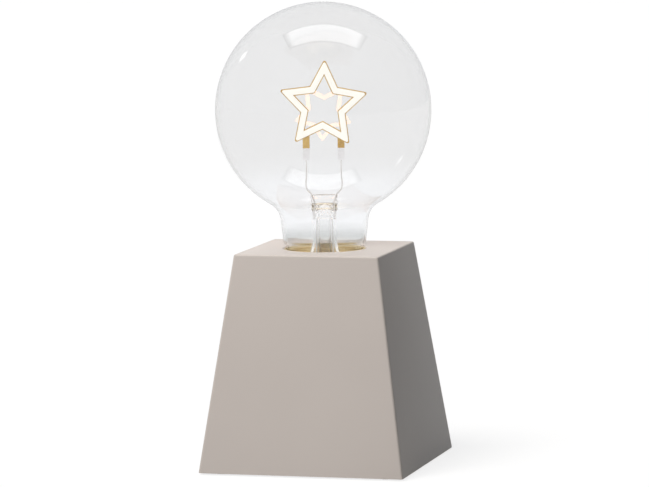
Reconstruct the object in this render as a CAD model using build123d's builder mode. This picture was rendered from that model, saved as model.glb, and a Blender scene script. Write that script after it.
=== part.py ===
"""Battery table lamp: a tapered square base with a clear globe bulb and a star-shaped led filament.

Millimetres, +Z up. The origin is the middle of the underside, on the plane of the foot pads, and
the base's front faces -Y. The bulb and its star are turned a little towards +X.
"""

import math
import os

from build123d import *

# Housing, a square frustum open underneath, as wide as its cells and board need
base_height = 102.8
side_lean = 14.75
foot_gap = 0.8
wall = 2.8
top_wall = 3.0
corner_radius = 1.2
top_edge_radius = 0.9
lower_edge_radius = 0.4
core_corner_radius = 3.0

# Socket for the bulb in the housing's top
hole_diameter = 39.4
hole_chamfer = 0.7
socket_wall = 2.4
socket_depth = 14.2
socket_rib = 1.6
socket_rib_height = 9.0

# Collar, its clamp ring and the disc that the wires pass
collar_clearance = 0.3
collar_wall = 0.6
collar_rim_drop = 0.15
flange_width = 1.8
ridge_depth = 0.35
ridge_pitch = 1.3
ridge_count = 3
clamp_thickness = 2.4
clamp_rim = 3.8
clamp_lip = 2.8
clamp_boss_offset = 5.1
clamp_boss_diameter = 7.0
clamp_boss_count = 3
clamp_boss_angle = 45.0
clamp_screw_diameter = 2.6
clamp_screw_head = 5.2
clamp_screw_head_height = 1.4
clamp_screw_length = 9.0
disc_thickness = 1.6
disc_clearance = 0.1

# Bulb glass
globe_radius = 51.6
globe_rise = 66.1
glass_wall = 0.9
neck_flare = 2.65
neck_fillet = 10.5
neck_taper = 6.2
mouth_rise = 3.6
mouth_gap = 0.55
mouth_fillet = 4.0
neck_end_draw = 0.65
tip_space = 2.4
cement_height = 5.0
bulb_turn = 15.0

# Stem: flare, tube, flattened press and the exhaust tube inside
stem_wall = 1.2
flare_height = 16.0
flare_lip = 1.1
tube_rise = 18.2
press_shoulder = 3.4
press_length = 4.0
press_width = 13.1
press_thickness = 4.8
press_edge = 0.8
bore_cap = 3.0
exhaust_radius = 3.3
exhaust_wall = 1.0
dome_lift = 1.4
tip_length = 1.6
tip_glass = 2.6

# Support wires, lugs and the star's tabs
wire_diameter = 0.8
wire_gap = 0.2
press_grip = 1.3
wire_spacing = 16.6
wire_bend_lift = 3.0
wire_bend_forward = 0.5
wire_tail = 1.3
lug_width = 3.3
lug_thickness = 0.4
lug_length = 8.0
lug_overlap = 2.2
lug_corner = 0.8
tab_reach = 20.1

# Star filament
star_lift = 2.4
star_forward = 6.0
star_roll = -3.0
star_points = 5
star_tip_radius = 22.5
star_notch_radius = 11.35
star_stroke = 3.7
star_tip_fillet = 1.0
star_metal = 0.5
layer_height = 0.7
layer_border = 0.28
layer_edge = 0.25
chip_length = 0.9
chip_width = 0.5
chip_height = 0.2
chips_per_edge = 3

# Bottom plate and feet
plate_recess = 0.6
plate_thickness = 2.4
rebate_wall = 1.4
plate_clearance = 0.25
plate_corner = 1.5
boss_inset = 10.5
boss_y = 22.0
boss_diameter = 7.6
boss_height = 24.0
boss_web = 2.4
plate_screw_diameter = 3.0
plate_screw_length = 12.0
plate_screw_head = 5.8
plate_screw_head_height = 1.1
foot_diameter = 11.0
foot_inset = 10.0
foot_recess = 0.6
foot_edge = 0.3

# Fits between fixed pieces, and the gap round moving ones
thread_clearance = 0.03
head_clearance = 0.3
seat_clearance = 0.1
moving_gap = 0.35

# Cells and battery bay
cell_diameter = 14.5
cell_length = 50.5
cell_nub_diameter = 5.5
cell_nub_height = 1.0
cell_edge = 0.5
cell_gap = 0.7
cell_count = 3
cell_side_gap = 0.45
cell_floor_gap = 0.6
bay_room = 0.745
bay_wall = 1.6
bay_side_wall = 2.2
bay_head_gap = 0.35
bay_roof = 1.6
bay_ledge = 1.2
cradle_rib = 1.6
cradle_gap = 0.5

# Cell contacts
contact_metal = 0.5
contact_space = 3.2
contact_head_gap = 1.5
contact_boss = 0.4
leaf_reach = 5.0
leaf_width = 5.0
leaf_metal = 0.4
leaf_span = 7.6
leaf_foot = 0.7
tail_width = 3.0
tail_height = 3.4
tail_clearance = 0.2

# Battery door with its two hooks and the snap tongue
door_corner = 1.0
door_groove = 0.5
door_groove_width = 0.8
groove_start = 7.0
groove_count = 3
door_end_gap = 0.45
hook_width = 4.4
hook_reach = 2.9
hook_thickness = 1.5
hook_root = 2.95
hook_bevel = 1.0
hook_lift = 0.3
hook_notch_gap = 0.5
latch_pocket = 7.0
latch_width = 12.0
latch_metal = 1.2
latch_bend = 1.6
latch_height = 10.0
latch_root_gap = 0.8
latch_sink = 0.5
latch_side_gap = 0.85
latch_head_gap = 1.0
barb_height = 1.4
barb_rise = 0.5
catch_gap = 1.0
scoop_radius = 6.0
scoop_depth = 1.3

# Circuit board and its parts
board_length = 52.0
board_width = 14.0
board_thickness = 1.6
board_corner = 1.0
board_gap = 2.6
board_room = 3.893
board_boss_inset = 4.5
board_boss_diameter = 6.0
board_screw_diameter = 2.2
board_screw_length = 6.0
board_screw_head = 4.2
board_screw_head_height = 1.4
screw_head_edge = 0.5
chip_body = (5.0, 4.0, 1.5)
chip_bevel = 0.3
chip_lead = (0.4, 1.0, 0.3)
chip_lead_pitch = 1.27
chip_leads_per_side = 4
chip_place = (-8.5, -1.5)
crystal_diameter = 2.0
crystal_length = 6.0
crystal_place = (-8.5, 3.5)
capacitor_diameter = 5.0
capacitor_height = 7.0
capacitor_edge = 0.4
capacitor_place = (9.0, 3.0)
resistor_size = (3.2, 1.6, 0.6)
resistor_x = 16.5
resistor_pitch = 6.0
transistor_size = (2.9, 1.3, 1.0)
transistor_bevel = 0.2
transistor_place = (-15.5, -3.5)

# Slide switch under the board
switch_length = 13.6
switch_width = 6.8
switch_height = 5.6
switch_wall = 0.8
switch_stand = 0.8
switch_travel = 4.0
switch_gap = 0.4
knob_length = 4.4
knob_width = 3.2
knob_setback = 0.3
knob_grip = 0.4
knob_window_gap = 0.5
knob_window_bevel = 0.8
slide_stem_length = 2.6
slide_stem_width = 2.0
slide_block_length = 6.0
slide_block_width = 3.6
slide_block_height = 1.6
pin_diameter = 0.8
pin_pitch = 3.0
pin_stand = 0.9

# Insulated leads
lead_diameter = 1.5
lead_bend = 0.45
lead_row_inset = 2.0
lead_arch = 13.0
bulb_lead_drop = 20.0
red_board_x = -2.5
black_board_x = 3.5
cell_lead_x = 13.5

# Heights of the plate, the cells and the board
lean = math.atan(side_lean / base_height)
draft = math.degrees(lean)
base_top = foot_gap + base_height
plate_bottom = foot_gap + plate_recess
plate_top = plate_bottom + plate_thickness
door_top = plate_top - moving_gap
cell_radius = cell_diameter / 2
cell_centre = door_top + cell_floor_gap + cell_radius
bay_ceiling = cell_centre + cell_radius + bay_head_gap
bay_top = bay_ceiling + bay_roof
switch_bottom = plate_top + switch_stand
board_bottom = switch_bottom + switch_height
board_top = board_bottom + board_thickness

# The base is as wide as the bay, the latch pocket and the board in a row, clear of its slanted walls
cell_pitch = cell_diameter + cell_gap
head_gap = contact_metal + contact_boss
bay_length = cell_length + head_gap + contact_metal + leaf_reach
slanted_wall = wall / math.cos(lean)
bay_inset = slanted_wall + (bay_top - foot_gap) * math.tan(lean) + bay_room + bay_wall
board_inset = slanted_wall + (board_top - foot_gap) * math.tan(lean) + board_room
board_row = board_gap + board_width + board_inset
base_width = bay_inset + bay_length + 2 * bay_wall + latch_pocket + board_row
base_top_width = base_width - 2 * side_lean
print("base", round(base_width, 2), "mm wide, top", round(base_top_width, 2), "mm wide")

# Places that follow from the sizes
rebate_width = base_width - 2 * rebate_wall
plate_width = rebate_width - 2 * plate_clearance
boss_x = base_width / 2 - boss_inset
foot_place = base_width / 2 - foot_inset
collar_radius = hole_diameter / 2 - collar_clearance
collar_bore = collar_radius - collar_wall
collar_top = base_top - collar_rim_drop
clamp_top = base_top - socket_depth - collar_wall
clamp_bottom = clamp_top - clamp_thickness
clamp_boss_place = hole_diameter / 2 + clamp_boss_offset
disc_top = clamp_top + disc_thickness
neck_end = disc_top + tip_space
mouth_radius = collar_bore - mouth_gap
neck_radius = mouth_radius + neck_flare
neck_end_radius = mouth_radius - neck_end_draw
wire_spacing_low = 2 * (exhaust_radius + wire_gap) + wire_diameter
wire_spacing_press = press_width - press_grip
stem_bore = exhaust_radius + wire_diameter + 2 * wire_gap
stem_radius = stem_bore + stem_wall
globe_centre = base_top + globe_rise
tube_top = base_top + tube_rise
press_bottom = tube_top + press_shoulder
press_top = press_bottom + press_length
dome_top = tube_top + dome_lift
star_height = globe_centre + star_lift
tab_bottom = star_height - tab_reach
lug_top = tab_bottom + lug_overlap
lug_bottom = lug_top - lug_length
star_back = star_forward - star_metal / 2
lug_back = star_back - lug_thickness
wire_forward = lug_back - wire_diameter / 2
bay_half_width = (cell_count - 1) / 2 * cell_pitch + cell_radius + cell_side_gap
bay_front = bay_inset - base_width / 2
bay_back = bay_front + bay_length
pocket_front = bay_back + bay_wall
pocket_back = pocket_front + latch_pocket
pocket_half_width = latch_width / 2 + latch_side_gap
window_half_width = bay_half_width + bay_ledge
door_front = bay_front + moving_gap
door_back = pocket_back - door_end_gap
hook_low = plate_top + hook_lift
hook_top = hook_low + hook_thickness
hook_sweep = math.hypot(hook_reach, hook_top - plate_bottom)
notch_top = plate_bottom + hook_sweep + hook_notch_gap
contact_width = cell_pitch - contact_space
contact_bottom = notch_top + hook_notch_gap
contact_top = bay_ceiling - contact_head_gap
latch_bend_height = plate_bottom + latch_height
latch_top = latch_bend_height + latch_bend + latch_metal / 2
barb_low = plate_top + barb_rise
board_middle = pocket_back + bay_wall + board_gap + board_width / 2
board_boss_x = board_length / 2 - board_boss_inset
board_places = [(-board_boss_x, board_middle), (board_boss_x, board_middle)]
pin_places = [(index * pin_pitch, board_middle) for index in (-1, 0, 1)]
cell_columns = [(index - (cell_count - 1) / 2) * cell_pitch for index in range(cell_count)]
wire_columns = {"left": -wire_spacing / 2, "right": wire_spacing / 2}
lowest = (Align.CENTER, Align.MIN)

turn = math.radians(bulb_turn)
bulb_front = Plane(
    origin=(0, 0, 0),
    x_dir=(math.cos(turn), math.sin(turn), 0),
    z_dir=(math.sin(turn), -math.cos(turn), 0),
)


def in_bulb(side, height, forward=0.0):
    """A point of the bulb: sideways, height over the floor, and forward to the star's face."""
    return bulb_front.from_local_coords(Vector(side, height, forward))


def level(height):
    """The level plane at this height."""
    return Plane.XY.offset(height)


def bulb_level(height):
    """The level plane at this height, turned with the bulb."""
    return Plane.XY.offset(height).rotated((0, 0, bulb_turn))


def on_board(place, height=board_top):
    """The level plane at a place of the board, from the board's middle."""
    return Plane((place[0], board_middle + place[1], height))


def between(low, high, share):
    """The value at this share of the way from low to high."""
    return low + (high - low) * share


def round_wire(points, diameter):
    """A round wire along straight runs, with an arc at each corner as large as the runs allow."""
    runs = [Vector(b) - Vector(a) for a, b in zip(points, points[1:])]
    radii = []
    for before, after in zip(runs, runs[1:]):
        half_turn = math.radians(before.get_angle(after)) / 2
        radii.append(lead_bend * min(before.length, after.length) / math.tan(half_turn))
    with BuildPart() as wire:
        with BuildLine() as path:
            FilletPolyline(*points, radius=radii)
        with BuildSketch(Plane(origin=path.line @ 0, z_dir=path.line % 0)):
            Circle(diameter / 2)
        sweep()
    print("wire of", diameter, "mm, bends", [round(radius, 1) for radius in radii])
    return wire.part


def finish(part, name):
    """Label a finished piece and write it."""
    part.label = name
    export_step(part, f"parts/{name}.step")


os.makedirs("parts", exist_ok=True)

# The housing is moulded round one core, and the core's cuts leave the socket, bosses and ribs
core_half_width = base_width / 2 - slanted_wall
with BuildPart() as core:
    with BuildSketch(level(foot_gap)):
        RectangleRounded(2 * core_half_width, 2 * core_half_width, core_corner_radius)
    extrude(amount=base_height - top_wall, taper=draft)
    with BuildSketch(level(base_top - socket_depth)):
        Circle(hole_diameter / 2 + socket_wall)
    extrude(amount=socket_depth, mode=Mode.SUBTRACT)
    with BuildSketch(level(clamp_top)):
        with PolarLocations(clamp_boss_place, clamp_boss_count, start_angle=clamp_boss_angle):
            Circle(clamp_boss_diameter / 2)
    extrude(amount=socket_depth, mode=Mode.SUBTRACT)
    with BuildSketch(level(base_top - top_wall - socket_rib_height)):
        Rectangle(base_width, socket_rib)
        Rectangle(socket_rib, base_width)
    extrude(amount=socket_rib_height, mode=Mode.SUBTRACT)
    with BuildSketch(level(plate_top)):
        with GridLocations(2 * boss_x, 2 * boss_y, 2, 2):
            Circle(boss_diameter / 2)
        with GridLocations(2 * boss_x + boss_diameter, 2 * boss_y, 2, 2):
            Rectangle(boss_diameter, boss_web)
    extrude(amount=boss_height, mode=Mode.SUBTRACT)

with BuildPart() as base_shell:
    with BuildSketch(level(foot_gap)):
        Rectangle(base_width, base_width)
    extrude(amount=base_height, taper=draft)
    slanted = base_shell.edges().filter_by(lambda edge: edge.bounding_box().size.Z > base_height / 2)
    fillet(slanted, corner_radius)
    fillet(base_shell.faces().sort_by(Axis.Z)[-1].edges(), top_edge_radius)
    fillet(base_shell.faces().sort_by(Axis.Z)[0].edges(), lower_edge_radius)
    add(core.part, mode=Mode.SUBTRACT)
    with BuildSketch(level(foot_gap)):
        RectangleRounded(rebate_width, rebate_width, plate_corner)
    extrude(amount=plate_recess + plate_thickness, mode=Mode.SUBTRACT)
    with BuildSketch(level(base_top)):
        Circle(hole_diameter / 2)
    extrude(amount=-socket_depth, mode=Mode.SUBTRACT)
    rim = base_shell.edges().filter_by(GeomType.CIRCLE).filter_by_position(Axis.Z, base_top, base_top)
    chamfer(rim.sort_by(SortBy.RADIUS)[-1], hole_chamfer)
    with BuildSketch(level(clamp_top)):
        with PolarLocations(clamp_boss_place, clamp_boss_count, start_angle=clamp_boss_angle):
            Circle(clamp_screw_diameter / 2 + thread_clearance)
    extrude(amount=clamp_screw_length - clamp_thickness + seat_clearance, mode=Mode.SUBTRACT)
    with BuildSketch(level(plate_top)):
        with GridLocations(2 * boss_x, 2 * boss_y, 2, 2):
            Circle(plate_screw_diameter / 2 + thread_clearance)
    extrude(amount=plate_screw_length, mode=Mode.SUBTRACT)
finish(base_shell.part, "base_shell")

# Collar with rolled ridges inside and a flange that the clamp ring holds
bore_line = [(collar_bore, clamp_top)]
for index in reversed(range(ridge_count)):
    ridge_height = collar_top - (index + 1) * ridge_pitch
    bore_line.append((collar_bore, ridge_height - ridge_depth))
    bore_line.append((collar_bore - ridge_depth, ridge_height))
    bore_line.append((collar_bore, ridge_height + ridge_depth))
flange_radius = collar_radius + flange_width
with BuildPart() as bulb_collar:
    with BuildSketch(Plane.XZ):
        with BuildLine():
            Polyline(
                *bore_line,
                (collar_bore, collar_top),
                (collar_radius, collar_top),
                (collar_radius, clamp_top + collar_wall),
                (flange_radius, clamp_top + collar_wall),
                (flange_radius, clamp_top),
                close=True,
            )
        make_face()
    revolve(axis=Axis.Z)
finish(bulb_collar.part, "bulb_collar")

with BuildPart() as clamp_ring:
    with BuildSketch(level(clamp_bottom)):
        Circle(hole_diameter / 2 + clamp_rim)
        with PolarLocations(clamp_boss_place, clamp_boss_count, start_angle=clamp_boss_angle):
            Circle(clamp_boss_diameter / 2)
            Circle(clamp_screw_diameter / 2 + thread_clearance, mode=Mode.SUBTRACT)
        Circle(collar_bore - clamp_lip, mode=Mode.SUBTRACT)
    extrude(amount=clamp_thickness)
finish(clamp_ring.part, "clamp_ring")

with BuildPart() as clamp_screws:
    with BuildSketch(level(clamp_bottom)):
        with PolarLocations(clamp_boss_place, clamp_boss_count, start_angle=clamp_boss_angle):
            Circle(clamp_screw_diameter / 2)
    extrude(amount=clamp_screw_length)
    with BuildSketch(level(clamp_bottom)):
        with PolarLocations(clamp_boss_place, clamp_boss_count, start_angle=clamp_boss_angle):
            Circle(clamp_screw_head / 2)
    extrude(amount=-clamp_screw_head_height)
    fillet(clamp_screws.faces().group_by(Axis.Z)[0].edges(), screw_head_edge)
finish(clamp_screws.part, "clamp_screws")

# Envelope of the bulb: sphere, drawn-in throat, tapered neck and narrower end inside the collar
throat_side = neck_radius + neck_fillet
throat_reach = globe_radius + neck_fillet
throat_drop = math.sqrt(throat_reach**2 - throat_side**2)
throat_centre = (throat_side, globe_centre - throat_drop)
taper = math.radians(neck_taper)
sphere_angle = math.degrees(math.atan2(throat_drop, throat_side))
throat_low = (
    throat_side - neck_fillet * math.cos(taper),
    throat_centre[1] + neck_fillet * math.sin(taper),
)
mouth_height = base_top + mouth_rise
neck_side = throat_low[0] - (throat_low[1] - mouth_height) * math.tan(taper)
with BuildPart() as bulb_glass:
    with BuildSketch(Plane.XZ) as envelope:
        with BuildLine():
            Polyline(
                (0, globe_centre + globe_radius),
                (0, neck_end),
                (neck_end_radius, neck_end),
                (mouth_radius, base_top),
                (neck_side, mouth_height),
                throat_low,
            )
            throat_arc = 180 - neck_taper - (180 - sphere_angle)
            CenterArc(throat_centre, neck_fillet, 180 - neck_taper, -throat_arc)
            CenterArc((0, globe_centre), globe_radius, -sphere_angle, 90 + sphere_angle)
        make_face()
        lowest_bend = between(neck_end, base_top, 0.5)
        highest_bend = between(mouth_height, throat_low[1], 0.5)
        bends = envelope.vertices().filter_by_position(Axis.Z, lowest_bend, highest_bend)
        fillet(bends, mouth_fillet)
    revolve(axis=Axis.Z)
    offset(amount=-glass_wall, openings=bulb_glass.faces().sort_by(Axis.Z)[0])
finish(bulb_glass.part, "bulb_glass")

neck_slope = neck_end_draw / (base_top - neck_end)
with BuildPart() as neck_cement:
    with BuildSketch(Plane.XZ):
        with BuildLine():
            Polyline(
                (neck_end_radius, neck_end),
                (collar_bore, neck_end),
                (collar_bore, neck_end + cement_height),
                (neck_end_radius + neck_slope * cement_height, neck_end + cement_height),
                close=True,
            )
        make_face()
    revolve(axis=Axis.Z)
finish(neck_cement.part, "neck_cement")

# Support wires: through the disc, up inside the stem, out of the press and up behind the lugs
wires = {}
for side, column in wire_columns.items():
    hand = math.copysign(1, column)
    wires[side] = round_wire(
        [
            in_bulb(hand * wire_spacing_low / 2, clamp_top - wire_tail),
            in_bulb(hand * wire_spacing_low / 2, tube_top),
            in_bulb(hand * wire_spacing_press / 2, press_top - press_edge),
            in_bulb(column, press_top + wire_bend_lift, wire_bend_forward),
            in_bulb(column, lug_bottom - lug_corner, wire_forward),
            in_bulb(column, lug_top - lug_corner, wire_forward),
        ],
        wire_diameter,
    )
    finish(wires[side], f"support_wire_{side}")

# Stem of the bulb, whose press grips both wires and whose bore holds the exhaust tube
stem_rim = neck_end_radius - glass_wall
flare_top = neck_end + flare_lip + flare_height
dome_centre = dome_top - exhaust_radius
with BuildPart() as glass_stem:
    with BuildSketch(Plane.XZ):
        with BuildLine():
            flare_reach = stem_rim - stem_radius
            inner_reach = stem_rim - stem_bore
            Line((stem_rim, neck_end), (stem_rim, neck_end + flare_lip))
            EllipticalCenterArc((stem_rim, flare_top), flare_reach, flare_height, 180, arc_size=90)
            Polyline(
                (stem_radius, flare_top),
                (stem_radius, tube_top),
                (0, tube_top),
                (0, tube_top - bore_cap),
                (stem_bore, tube_top - bore_cap),
                (stem_bore, flare_top),
            )
            inner_height = flare_height + flare_lip
            EllipticalCenterArc((stem_rim, flare_top), inner_reach, inner_height, 180, arc_size=90)
        make_face()
    revolve(axis=Axis.Z)
    with BuildSketch(bulb_level(tube_top)):
        Ellipse(stem_radius, stem_radius)
    with BuildSketch(bulb_level(press_bottom)):
        Ellipse(press_width / 2, press_thickness / 2)
    loft()
    with BuildSketch(bulb_level(press_bottom)):
        Ellipse(press_width / 2, press_thickness / 2)
    extrude(amount=press_length)
    fillet(glass_stem.faces().sort_by(Axis.Z)[-1].edges(), press_edge)
    with BuildSketch(Plane.XZ):
        with BuildLine():
            Polyline(
                (0, dome_top), (0, neck_end), (exhaust_radius, neck_end), (exhaust_radius, dome_centre)
            )
            CenterArc((0, dome_centre), exhaust_radius, 0, 90)
        make_face()
    revolve(axis=Axis.Z, mode=Mode.SUBTRACT)
    for wire in wires.values():
        add(wire, mode=Mode.SUBTRACT)
finish(glass_stem.part, "glass_stem")

exhaust_bore = exhaust_radius - exhaust_wall
tip_shoulder = neck_end + exhaust_radius
with BuildPart() as exhaust_tube:
    with BuildSketch(Plane.XZ):
        with BuildLine():
            CenterArc((0, dome_centre), exhaust_radius, 0, 90)
            Polyline(
                (exhaust_radius, dome_centre),
                (exhaust_radius, tip_shoulder),
                (0, neck_end - tip_length),
                (0, neck_end - tip_length + tip_glass),
                (exhaust_bore, tip_shoulder + exhaust_wall / 2),
                (exhaust_bore, dome_centre),
            )
            CenterArc((0, dome_centre), exhaust_bore, 0, 90)
            Line((0, dome_centre + exhaust_bore), (0, dome_top))
        make_face()
    revolve(axis=Axis.Z)
finish(exhaust_tube.part, "exhaust_tube")

with BuildPart() as lead_disc:
    with BuildSketch(bulb_level(clamp_top)):
        Circle(collar_bore - disc_clearance)
        with Locations((-wire_spacing_low / 2, 0), (wire_spacing_low / 2, 0)):
            Circle(wire_diameter / 2 + disc_clearance, mode=Mode.SUBTRACT)
    extrude(amount=disc_thickness)
finish(lead_disc.part, "lead_disc")


# Star filament: a stamped ring with two tabs, chips on both faces and a glowing layer over each
def star_corner(index, tip, notch):
    """A corner of the star: tips and notches take turns, and the first tip points up."""
    angle = math.radians(90 + star_roll + index * 180 / star_points)
    radius = notch if index % 2 else tip
    return Vector(radius * math.cos(angle), radius * math.sin(angle))


def star_ring(border=0.0):
    """The star's ring as a flat face, drawn in by a border along both of its outlines."""
    corners = [star_corner(i, star_tip_radius, star_notch_radius) for i in range(2 * star_points)]
    with BuildSketch() as outline:
        with BuildLine():
            Polyline(*corners, close=True)
        make_face()
    with BuildSketch() as hole:
        add(outline.sketch)
        offset(amount=border - star_stroke, kind=Kind.INTERSECTION, mode=Mode.REPLACE)
    with BuildSketch() as ring:
        add(outline.sketch)
        if border:
            offset(amount=-border, kind=Kind.INTERSECTION, mode=Mode.REPLACE)
        fillet(ring.vertices().sort_by_distance((0, 0))[star_points:], star_tip_fillet)
        add(hole.sketch, mode=Mode.SUBTRACT)
    return ring.sketch


def star_plane(forward):
    """The plane of the star, this far in front of the bulb's axis."""
    return Plane(
        origin=in_bulb(0, star_height, forward), x_dir=bulb_front.x_dir, z_dir=bulb_front.z_dir
    )


tab_root = -star_notch_radius - star_stroke / 2
with BuildPart() as star_plate:
    with BuildSketch(star_plane(star_back)):
        add(star_ring())
        with Locations(*[(column, -tab_reach) for column in wire_columns.values()]):
            Rectangle(lug_width, tab_root + tab_reach, align=lowest)
    extrude(amount=star_metal)
finish(star_plate.part, "star_plate")

for side, column in wire_columns.items():
    with BuildPart() as lug:
        with BuildSketch(star_plane(lug_back)):
            with Locations((column, lug_bottom - star_height)):
                Rectangle(lug_width, lug_length, align=lowest)
        extrude(amount=lug_thickness)
        across = lug.edges().filter_by(Axis((0, 0, 0), bulb_front.z_dir))
        fillet(across.group_by(Axis.Z)[0], lug_corner)
    finish(lug.part, f"terminal_lug_{side}")

# Chips sit in a row along the middle of each of the star's edges
edge_run = star_corner(0, star_tip_radius, 0) - star_corner(1, 0, star_notch_radius)
tip_sine = star_notch_radius * math.sin(math.pi / star_points) / edge_run.length
row_tip = star_tip_radius - star_stroke / 2 / tip_sine
row_notch = row_tip * star_notch_radius / star_tip_radius
chip_places = []
for index in range(2 * star_points):
    start = star_corner(index, row_tip, row_notch)
    run = star_corner(index + 1, row_tip, row_notch) - start
    heading = math.degrees(math.atan2(run.Y, run.X))
    for step in range(chips_per_edge):
        place = start + run * ((step + 1) / (chips_per_edge + 1))
        chip_places.append(Location((place.X, place.Y, 0), (0, 0, heading)))

with BuildPart() as led_chips:
    for face_level, direction in ((star_back + star_metal, 1), (star_back, -1)):
        with BuildSketch(star_plane(face_level)):
            with Locations(*chip_places):
                Rectangle(chip_length, chip_width)
        extrude(amount=direction * chip_height)
finish(led_chips.part, "led_chips")

layers = {"front": (star_back + star_metal, 1), "back": (star_back, -1)}
for name, (face_level, direction) in layers.items():
    with BuildPart() as layer:
        with BuildSketch(star_plane(face_level)):
            add(star_ring(layer_border))
        extrude(amount=direction * layer_height)
        outside = layer.faces().sort_by(Axis((0, 0, 0), bulb_front.z_dir * direction))[-1]
        chamfer(outside.edges(), layer_edge)
        add(led_chips.part, mode=Mode.SUBTRACT)
    finish(layer.part, f"star_phosphor_{name}")

# Bottom plate: battery bay with its roof, latch pocket, board bosses and the openings
with BuildPart() as bottom_plate:
    with BuildSketch(level(plate_bottom)):
        RectangleRounded(plate_width, plate_width, plate_corner)
    extrude(amount=plate_thickness)
    bay_outside = 2 * (bay_half_width + bay_side_wall)
    pocket_outside = 2 * (pocket_half_width + bay_wall)
    pocket_ceiling = latch_top + latch_head_gap
    with BuildSketch(level(plate_bottom)):
        with Locations((0, bay_front - bay_wall)):
            Rectangle(bay_outside, bay_length + 2 * bay_wall, align=lowest)
    extrude(amount=bay_top - plate_bottom)
    with BuildSketch(level(plate_bottom)):
        with Locations((0, bay_back)):
            Rectangle(pocket_outside, latch_pocket + 2 * bay_wall, align=lowest)
    extrude(amount=pocket_ceiling + bay_wall - plate_bottom)
    with BuildSketch(level(plate_bottom)):
        with Locations((0, bay_front)):
            Rectangle(2 * bay_half_width, bay_length, align=lowest)
    extrude(amount=bay_ceiling - plate_bottom, mode=Mode.SUBTRACT)
    with BuildSketch(level(plate_bottom)):
        with Locations((0, pocket_front)):
            Rectangle(2 * pocket_half_width, latch_pocket, align=lowest)
    extrude(amount=pocket_ceiling - plate_bottom, mode=Mode.SUBTRACT)
    with BuildSketch(level(plate_bottom)):
        with Locations((0, bay_front)):
            Rectangle(2 * window_half_width, pocket_back - bay_front, align=lowest)
    extrude(amount=plate_thickness, mode=Mode.SUBTRACT)
    # Ribs that hang between the cells
    cradle_side = cell_pitch / 2 - cradle_rib / 2
    rib_bottom = cell_centre + math.sqrt(cell_radius**2 - cradle_side**2) + cradle_gap
    with BuildSketch(level(bay_ceiling)):
        with Locations((0, bay_front + bay_length / 2)):
            with GridLocations(cell_pitch, 0, cell_count - 1, 1):
                Rectangle(cradle_rib, cell_length - cell_diameter)
    extrude(amount=rib_bottom - bay_ceiling)
    # Notches for the hooks in the bay's front wall, and the slot over the latch's catch
    with BuildSketch(level(plate_top)):
        with Locations((0, bay_front)):
            with GridLocations(cell_pitch, 0, 2, 1):
                Rectangle(hook_width + 2 * hook_notch_gap, 2 * bay_wall)
    extrude(amount=notch_top - plate_top, mode=Mode.SUBTRACT)
    with BuildSketch(level(plate_top)):
        with Locations((0, pocket_back)):
            Rectangle(latch_width + 2 * moving_gap, 2 * bay_wall)
    extrude(amount=barb_rise + barb_height + catch_gap, mode=Mode.SUBTRACT)
    with BuildSketch(level(plate_bottom)):
        with Locations((0, pocket_back)):
            Circle(scoop_radius)
    extrude(amount=scoop_depth, mode=Mode.SUBTRACT)
    # Slots in the roof for the two contact tails
    negative_side = -1 if cell_count % 2 else 1
    negative_wall = bay_front if cell_count % 2 else bay_back
    tail_places = [
        (cell_columns[0], bay_back - contact_metal / 2),
        (cell_columns[-1], negative_wall - negative_side * contact_metal / 2),
    ]
    with BuildSketch(level(bay_ceiling)):
        with Locations(*tail_places):
            Rectangle(tail_width + 2 * tail_clearance, contact_metal + 2 * tail_clearance)
    extrude(amount=bay_roof, mode=Mode.SUBTRACT)
    # Board bosses with their pilot holes
    with BuildSketch(level(plate_top)):
        with Locations(*board_places):
            Circle(board_boss_diameter / 2)
            Circle(board_screw_diameter / 2 + thread_clearance, mode=Mode.SUBTRACT)
    extrude(amount=board_bottom - plate_top)
    # Window for the switch knob, bevelled below
    window_length = knob_length + switch_travel + 2 * knob_window_gap
    window_width = knob_width + 2 * knob_window_gap
    with BuildSketch(level(plate_bottom)):
        with Locations((0, board_middle)):
            Rectangle(window_length, window_width)
    extrude(amount=plate_thickness, mode=Mode.SUBTRACT)
    with BuildSketch(level(plate_bottom)):
        with Locations((0, board_middle)):
            Rectangle(window_length + 2 * knob_window_bevel, window_width + 2 * knob_window_bevel)
    extrude(amount=knob_window_bevel, taper=45, mode=Mode.SUBTRACT)
    # Screw holes with counterbores, and the shallow seats of the feet
    with Locations(Plane(origin=(0, 0, plate_bottom), z_dir=(0, 0, -1))):
        with GridLocations(2 * boss_x, 2 * boss_y, 2, 2):
            CounterBoreHole(
                radius=plate_screw_diameter / 2 + head_clearance / 2,
                counter_bore_radius=plate_screw_head / 2 + head_clearance,
                counter_bore_depth=plate_screw_head_height + seat_clearance,
                depth=plate_thickness,
            )
    with BuildSketch(level(plate_bottom)):
        with GridLocations(2 * foot_place, 2 * foot_place, 2, 2):
            Circle(foot_diameter / 2)
    extrude(amount=foot_recess, mode=Mode.SUBTRACT)
finish(bottom_plate.part, "bottom_plate")

with BuildPart() as foot_pads:
    with BuildSketch():
        with GridLocations(2 * foot_place, 2 * foot_place, 2, 2):
            Circle(foot_diameter / 2)
    extrude(amount=plate_bottom + foot_recess)
    fillet(foot_pads.faces().group_by(Axis.Z)[0].edges(), foot_edge)
finish(foot_pads.part, "foot_pads")

screw_seat = plate_bottom + plate_screw_head_height + seat_clearance
with BuildPart() as plate_screws:
    with BuildSketch(level(screw_seat)):
        with GridLocations(2 * boss_x, 2 * boss_y, 2, 2):
            Circle(plate_screw_diameter / 2)
    extrude(amount=plate_screw_length)
    with BuildSketch(level(screw_seat)):
        with GridLocations(2 * boss_x, 2 * boss_y, 2, 2):
            Circle(plate_screw_head / 2)
    extrude(amount=-plate_screw_head_height)
    fillet(plate_screws.faces().group_by(Axis.Z)[0].edges(), screw_head_edge)
finish(plate_screws.part, "plate_screws")

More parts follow.
